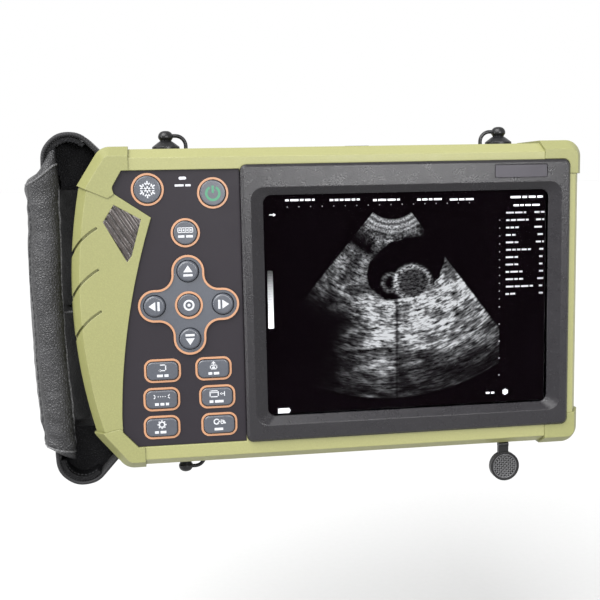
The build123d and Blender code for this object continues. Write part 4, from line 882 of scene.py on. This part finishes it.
def build_webbing():
    """The woven band, with a rounded section and thicker edges, along the strap's line."""
    low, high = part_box("strap_webbing")
    line = strap_line()
    half = (high.y - low.y) / 2 / MM - BAND_INSET
    mid_y = (high.y + low.y) / 2 / MM
    across = [(-half + 2 * half * k / BAND_STEPS) for k in range(BAND_STEPS + 1)]
    from_selvedge = [(half - abs(y) - SELVEDGE_INSET) / SELVEDGE_WIDTH for y in across]
    section = [(y, BAND_HALF + SELVEDGE_BULGE * math.exp(-away ** 2)) for y, away in zip(across, from_selvedge)]
    section[0] = (-half, BAND_EDGE)
    section[-1] = (half, BAND_EDGE)
    loop = section + [(y, -t) for y, t in section[::-1]]
    points, lengths, gone = [], [], 0.0
    for place, (x, z) in enumerate(line):
        before, after = line[max(place - 1, 0)], line[min(place + 1, len(line) - 1)]
        way = Vector((after[0] - before[0], after[1] - before[1])).normalized()
        out = (-way.y, way.x)
        if place:
            gone += math.hypot(x - line[place - 1][0], z - line[place - 1][1])
        for y, t in loop:
            ripple = 0.05 * math.sin(gone * 0.8 + y)
            points.append(Vector((x + out[0] * (t + ripple), mid_y + y, z + out[1] * (t + ripple))) * MM)
            lengths.append((gone, y))
    columns = len(loop)
    faces = grid_faces(len(line), columns)
    faces.append(tuple(range(columns)))
    faces.append(tuple(range((len(line) - 1) * columns, len(line) * columns)))
    webbing = make_piece("strap_webbing_woven", points, faces, finishes["webbing"], CASE)
    chart = webbing.data.uv_layers.new(name="length_and_width")
    for corner in webbing.data.loops:
        chart.data[corner.index].uv = lengths[corner.vertex_index]
    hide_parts("strap_webbing")


def build_liner_edges():
    """Thin leather rolls behind the sleeve at mid height, pale as a painted highlight on the lining's edges, and
    front stitches round both loops' lining.
    """
    centres, bars = loop_places()
    low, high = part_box("strap_tongues")
    radius = LOOP_RADIUS - WEBBING_THICK / 2 - ROLL_INSET
    rolls, stitches = [], []
    for side in (1, -1):
        leave = leave_angle(centres[side], bars[side], side)
        start, end = (leave + 4, 178) if side > 0 else (182, 356 + leave)
        for y in (low.y / MM + ROLL_SINK, high.y / MM - ROLL_SINK):
            turns = arc_line(centres[side], radius, start, end - start, ROLL_STEPS)
            rolls.append([Vector((x, y, 0)) * MM for x, _ in turns])
        y = low.y / MM + STITCH_PLACE
        for angle in range(int(start) + 4, int(end) - 6, STITCH_PITCH):
            ends = [on_circle(centres[side], radius - STITCH_INSET, angle + along)
                    for along in (0, STITCH_PITCH * STITCH_SHARE)]
            stitches.append([Vector((x, y, z)) * MM for x, z in ends])
    tubes("lining_rolled_edges", rolls, ROLL_RADIUS * MM, PIPING_PAINTED_HIGHLIGHT, CASE)
    tubes("lining_stitches", stitches, STITCH_RADIUS * MM, THREAD, CASE, 6, 0.5)


def build_gussets():
    """Leather that closes each loop between the webbing and the case, in the near-black lining whose colour is
    partly painted shade.
    """
    centres, bars = loop_places()
    low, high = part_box("strap_tongues")
    outlines = []
    for side in (1, -1):
        leave = leave_angle(centres[side], bars[side], side)
        loop = arc_line(centres[side], LOOP_RADIUS - GUSSET_INSET, leave, side * 180 - leave, GUSSET_STEPS)
        outlines.append([on_circle(bars[side], EYE_RADIUS - GUSSET_INSET, leave)] + loop)
    front = (low.y + high.y) / 2
    marks("loop_gussets", outlines, (0, 0), front, LINING_PAINTED_SHADE, CASE, GUSSET_THICK)


def arc_through(first, via, last, steps):
    """Points on the circle through three points, from the first towards the last."""
    (ax, ay), (bx, by), (cx, cy) = first, via, last
    d = 2 * (ax * (by - cy) + bx * (cy - ay) + cx * (ay - by))
    a2, b2, c2 = ax * ax + ay * ay, bx * bx + by * by, cx * cx + cy * cy
    ux = (a2 * (by - cy) + b2 * (cy - ay) + c2 * (ay - by)) / d
    uy = (a2 * (cx - bx) + b2 * (ax - cx) + c2 * (bx - ax)) / d
    radius = math.hypot(ax - ux, ay - uy)
    start, through, end = (math.atan2(y - uy, x - ux) for x, y in (first, via, last))
    turn = (end - start) % (2 * math.pi)
    if (through - start) % (2 * math.pi) > turn:
        turn -= 2 * math.pi
    return [(ux + radius * math.cos(start + turn * k / steps), uy + radius * math.sin(start + turn * k / steps))
            for k in range(steps)]


PAD_SECTION = (
    ((-14.6, -8.5), (-16.6, 10.0), (-9.0, 31.0), 30),
    ((-9.0, 31.0), (-2.6, 33.2), (2.2, 27.4), 10),
    ((2.2, 27.4), (-4.6, 10.0), (-3.2, -8.5), 30),
    ((-3.2, -8.5), (-9.0, -13.0), (-14.6, -8.5), 14),
)
PAD_ROWS = 96
PAD_END = 5.0
END_TUCK = 0.62
END_REACH = 9.0
SWELL = 0.9
FOLD = 0.55
CREASE = 0.55
CROWN = 0.35
COLLAR_BACK = 6.0
COLLAR_RISE = 9.0
COLLAR_PEAK = -3.2
COLLAR_WIDTH = 6.0
TOP_SLANT = 5.5
SLANT_LENGTH = 16
HEM_DROP = 5.0
END_LENGTH = 14
LEAN = 2.2
LEAN_START = 8
LEAN_LENGTH = 48
LEAN_POWER = 1.6
HEM_ROWS = (3, PAD_ROWS - 4)
FRONT_START = 69
FRONT_END = 88
LINING_START = 41
LINING_END = 69
# Places in the section where the leather is sewn
SEAMS = (0, 40, 70)
SEAM_DEPTH = 0.8
SEAM_WIDTH = 0.75
SEAM_ENDS = 5


def pad_section():
    """The sleeve's section as points, each with the way out of the leather."""
    points = [p for arc in PAD_SECTION for p in arc_through(*arc)]
    count = len(points)
    outward = []
    for place in range(count):
        before, after = points[place - 1], points[(place + 1) % count]
        way = Vector((after[0] - before[0], after[1] - before[1])).normalized()
        outward.append((-way.y, way.x))
    return points, outward


def seam_depths(section):
    """How deep the leather is drawn in at each point of the section."""
    count = len(section)
    gaps = [math.dist(section[k], section[(k + 1) % count]) for k in range(count)]
    along = [sum(gaps[:k]) for k in range(count)]
    total = sum(gaps)
    depths = []
    for k in range(count):
        away = min(min(abs(along[k] - along[s]), total - abs(along[k] - along[s])) for s in SEAMS)
        depths.append(SEAM_DEPTH * math.exp(-(away / SEAM_WIDTH) ** 2))
    return depths


def leather_growth(x, y, z, near_end):
    """How far the leather stands out of the section: a slow swell, folds by the ends, and creases."""
    rise = noise.noise(Vector((x * 0.07, y * 0.07, z * 0.045))) * SWELL
    fold = math.sin(z * 0.95 + x * 0.35 + y * 0.22 + 2.5 * noise.noise(Vector((x, y, z)) * 0.06))
    crease = noise.noise(Vector((x * 0.16, y * 0.16, z * 0.30 + 7))) * CREASE
    return rise + near_end * fold * FOLD + crease * (0.35 + near_end)


def end_shift(x, y, z, bottom, top):
    """How far the ends go up or down: the top slants, with a collar at the front, and the front hem drops."""
    shift = max(0.0, (z - top + SLANT_LENGTH) / SLANT_LENGTH) ** 2 * TOP_SLANT * max(0.0, (x + 15) / 16)
    if y < COLLAR_BACK:
        high_end = max(0.0, (z - top + END_LENGTH) / END_LENGTH) ** 2
        shift += COLLAR_RISE * high_end * math.exp(-((x - COLLAR_PEAK) / COLLAR_WIDTH) ** 2)
        low_end = max(0.0, (bottom + END_LENGTH - z) / END_LENGTH) ** 2
        shift -= HEM_DROP * low_end * max(0.0, (x + 13) / 10)
    return shift


def build_pad():
    """The padded leather sleeve: crowned sides, drawn-in ends, a front collar, seams, soft folds and a lining on
    the inner face, in near-black leather that is partly painted shade.
    """
    low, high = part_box("strap_pad")
    bottom, top = low.z / MM, high.z / MM
    section, outward = pad_section()
    depths = seam_depths(section)
    count = len(section)
    middle_x = sum(p[0] for p in section) / count
    middle_y = sum(p[1] for p in section) / count
    points = []
    for row in range(PAD_ROWS):
        share = row / (PAD_ROWS - 1)
        z = bottom + (top - bottom) * share
        end_away = min(z - bottom, top - z)
        close = math.sqrt(max(0.0, 1 - (1 - min(1.0, end_away / PAD_END)) ** 2))
        tuck = END_TUCK + (1 - END_TUCK) * close
        near_end = math.exp(-end_away / END_REACH)
        lean = LEAN * max(0.0, (-z - LEAN_START) / LEAN_LENGTH) ** LEAN_POWER
        for k, (x, y) in enumerate(section):
            grow = leather_growth(x, y, z, near_end) - depths[k] + CROWN * math.sin(math.pi * share)
            px = middle_x + (x - middle_x) * tuck + outward[k][0] * grow
            py = middle_y + (y - middle_y) * tuck + outward[k][1] * grow
            points.append(Vector((px + lean, py, z + end_shift(x, y, z, bottom, top))) * MM)
    faces = grid_faces(PAD_ROWS, count)
    for row in (0, PAD_ROWS - 1):
        edge = [row * count + k for k in range(count)]
        centre = len(points)
        points.append(sum((points[k] for k in edge), Vector()) / count)
        faces += [(centre, edge[k], edge[(k + 1) % count]) for k in range(count)]
    pad = make_piece("padded_hand_sleeve", points, faces, finishes["leather"], CASE)
    pad.data.materials.append(LINING_PAINTED_SHADE)
    # The inner face gets the near-black lining, its darkness partly painted shade.
    for face in pad.data.polygons[:(PAD_ROWS - 1) * count]:
        if LINING_START <= face.index % count < LINING_END:
            face.material_index = 1
    smooth = pad.modifiers.new("smooth", "SUBSURF")
    smooth.levels = 1
    smooth.render_levels = 1
    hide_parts("strap_pad")
    build_pad_edging(points, count, (middle_x * MM, middle_y * MM))


def build_pad_edging(points, count, axis):
    """Piping along both hems at the front, pale as a painted highlight on the hems, and stitches beside each seam,
    lifted away from the sleeve's axis.
    """
    hems = [[points[row * count + k % count] for k in range(FRONT_START, FRONT_END)] for row in HEM_ROWS]
    tubes("sleeve_hem_piping", hems, 0.45 * MM, PIPING_PAINTED_HIGHLIGHT, CASE, 8, 0.5)

    def lifted(point):
        return point + (point - Vector((*axis, point.z))).normalized() * 0.05 * MM

    stitches = []
    for seam in SEAMS:
        row = [points[row * count + (seam + 1) % count] for row in range(SEAM_ENDS, PAD_ROWS - SEAM_ENDS)]
        stitches += [[lifted(row[k]), lifted(row[k + 2])] for k in range(0, len(row) - 2, 3)]
    tubes("sleeve_stitches", stitches, 0.22 * MM, THREAD, CASE, 6, 0.5)


# ---------------- open cap of the probe socket

RIM_RISE = 0.4
RIB_MARGIN = 1.5
RIB_PITCH = 1.15
RIB_WIDTH = 0.42
RIB_SHORTEST = 1.0
RIB_RISE = 0.32
BEAD_MARGIN = 0.35
BEAD_RADIUS = 0.22


def build_cap_details():
    """Diamond ribs inside the open cap's rim, and a raised bead round them, in lighter rubber whose pale colour is
    a painted highlight.
    """
    cap = "probe_socket_cap"
    low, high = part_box(cap)
    radius = (high.x - low.x) / 2 / MM
    centre = ((low.x + high.x) / 2 / MM, low.z / MM + radius)
    front = low.y + RIM_RISE * MM
    shapes = []
    inner = radius - RIB_MARGIN
    for way in (-1, 1):
        for k in range(-4, 5):
            offset = k * RIB_PITCH
            half = math.sqrt(max(0.0, inner * inner - offset * offset))
            if half < RIB_SHORTEST:
                continue
            turn = math.radians(45 * way)
            x, z = -offset * math.sin(turn), offset * math.cos(turn)
            shapes.append(bar(x, z, 2 * half, RIB_WIDTH, 45 * way))
    marks("open_cap_ribs", shapes, centre, front, RIB_RUBBER_PAINTED_HIGHLIGHT, cap, RIB_RISE)
    round_ribs = arc_line(centre, inner + BEAD_MARGIN, 0, 360, 48)
    bead = [Vector((x, front / MM, z)) * MM for x, z in round_ribs]
    tubes("open_cap_bead", [bead], BEAD_RADIUS * MM, RIB_RUBBER_PAINTED_HIGHLIGHT, cap)


# ---------------- studio

CAMERA_PLACE = Vector((0.0343, -0.3812, 0.0480))
CAMERA_RIGHT = Vector((0.9890, -0.1464, -0.0202))
CAMERA_UP = Vector((0.0378, 0.1183, 0.9923))
CAMERA_LENS = 57.0
FLOOR_DROP = 0.10
FLOOR_DARK = (0.385, 0.385, 0.385)
FLOOR_PALE = (0.405, 0.405, 0.405)


def build_camera():
    data = bpy.data.cameras.new("camera")
    data.lens = CAMERA_LENS
    data.sensor_width = 36.0
    data.clip_start = 0.01
    data.clip_end = 50
    camera = bpy.data.objects.new("camera", data)
    bpy.context.scene.collection.objects.link(camera)
    right = CAMERA_RIGHT.normalized()
    back = right.cross(CAMERA_UP).normalized()
    up = back.cross(right)
    turn = Matrix((right, up, back)).transposed().to_4x4()
    camera.matrix_world = Matrix.Translation(CAMERA_PLACE) @ turn
    bpy.context.scene.camera = camera


def area_light(name, place, aim, size, power, colour=(1, 1, 1)):
    data = bpy.data.lights.new(name, "AREA")
    data.shape = "RECTANGLE"
    data.size, data.size_y = size
    data.energy = power
    data.color = colour
    light = bpy.data.objects.new(name, data)
    bpy.context.scene.collection.objects.link(light)
    light.location = place
    light.rotation_mode = "QUATERNION"
    light.rotation_quaternion = (Vector(aim) - Vector(place)).to_track_quat("-Z", "Y")


def sun_light(name, towards, strength, spread):
    data = bpy.data.lights.new(name, "SUN")
    data.energy = strength
    data.angle = math.radians(spread)
    light = bpy.data.objects.new(name, data)
    bpy.context.scene.collection.objects.link(light)
    light.rotation_mode = "QUATERNION"
    light.rotation_quaternion = Vector(towards).to_track_quat("-Z", "Y")


def build_studio():
    """White room, a broad key light from the upper left, a small fill and a soft box for sheen, and grey paper."""
    world = bpy.data.worlds.new("soft_room")
    bpy.context.scene.world = world
    world.use_nodes = True
    sky = world.node_tree.nodes["Background"]
    sky.inputs["Color"].default_value = (1, 1, 1, 1)
    sky.inputs["Strength"].default_value = 1.0
    bpy.context.scene.view_settings.view_transform = "Standard"
    centre = (CAD_LOW + CAD_HIGH) / 2
    sun_light("key", (0.45, 0.50, -0.74), 7.0, 55)
    area_light("left_strip", centre + Vector((-0.75, -0.20, 0.10)), centre, (0.10, 0.6), 2.5)
    area_light("sheen", centre + Vector((0.22, -0.85, 0.17)), centre + Vector((0, 0, 0.04)), (0.36, 0.18), 5.0)
    floor_mesh = bpy.data.meshes.new("floor")
    mesh = bmesh.new()
    bmesh.ops.create_circle(mesh, cap_ends=True, radius=40.0, segments=96)
    mesh.to_mesh(floor_mesh)
    mesh.free()
    floor = bpy.data.objects.new("floor", floor_mesh)
    bpy.context.scene.collection.objects.link(floor)
    floor.location = (0, 0, CAD_LOW.z - FLOOR_DROP)
    made, tree, shader = new_material("floor_paper")
    fibres = noise_wire(tree, coordinates(tree), 300, 4)
    tree.links.new(blend_colours(tree, fibres, FLOOR_DARK, FLOOR_PALE), shader.inputs["Base Color"])
    tree.links.new((fibres * 0.1 + 0.88).socket, shader.inputs["Roughness"])
    shader.inputs["Specular IOR Level"].default_value = 0.0
    add_bump(tree, shader, fibres, 0.02 * MM)
    floor_mesh.materials.append(made)


build_camera()
build_studio()
dress_cad()
print_keys()
build_screen()
build_webbing()
build_liner_edges()
build_gussets()
build_pad()
build_cap_details()
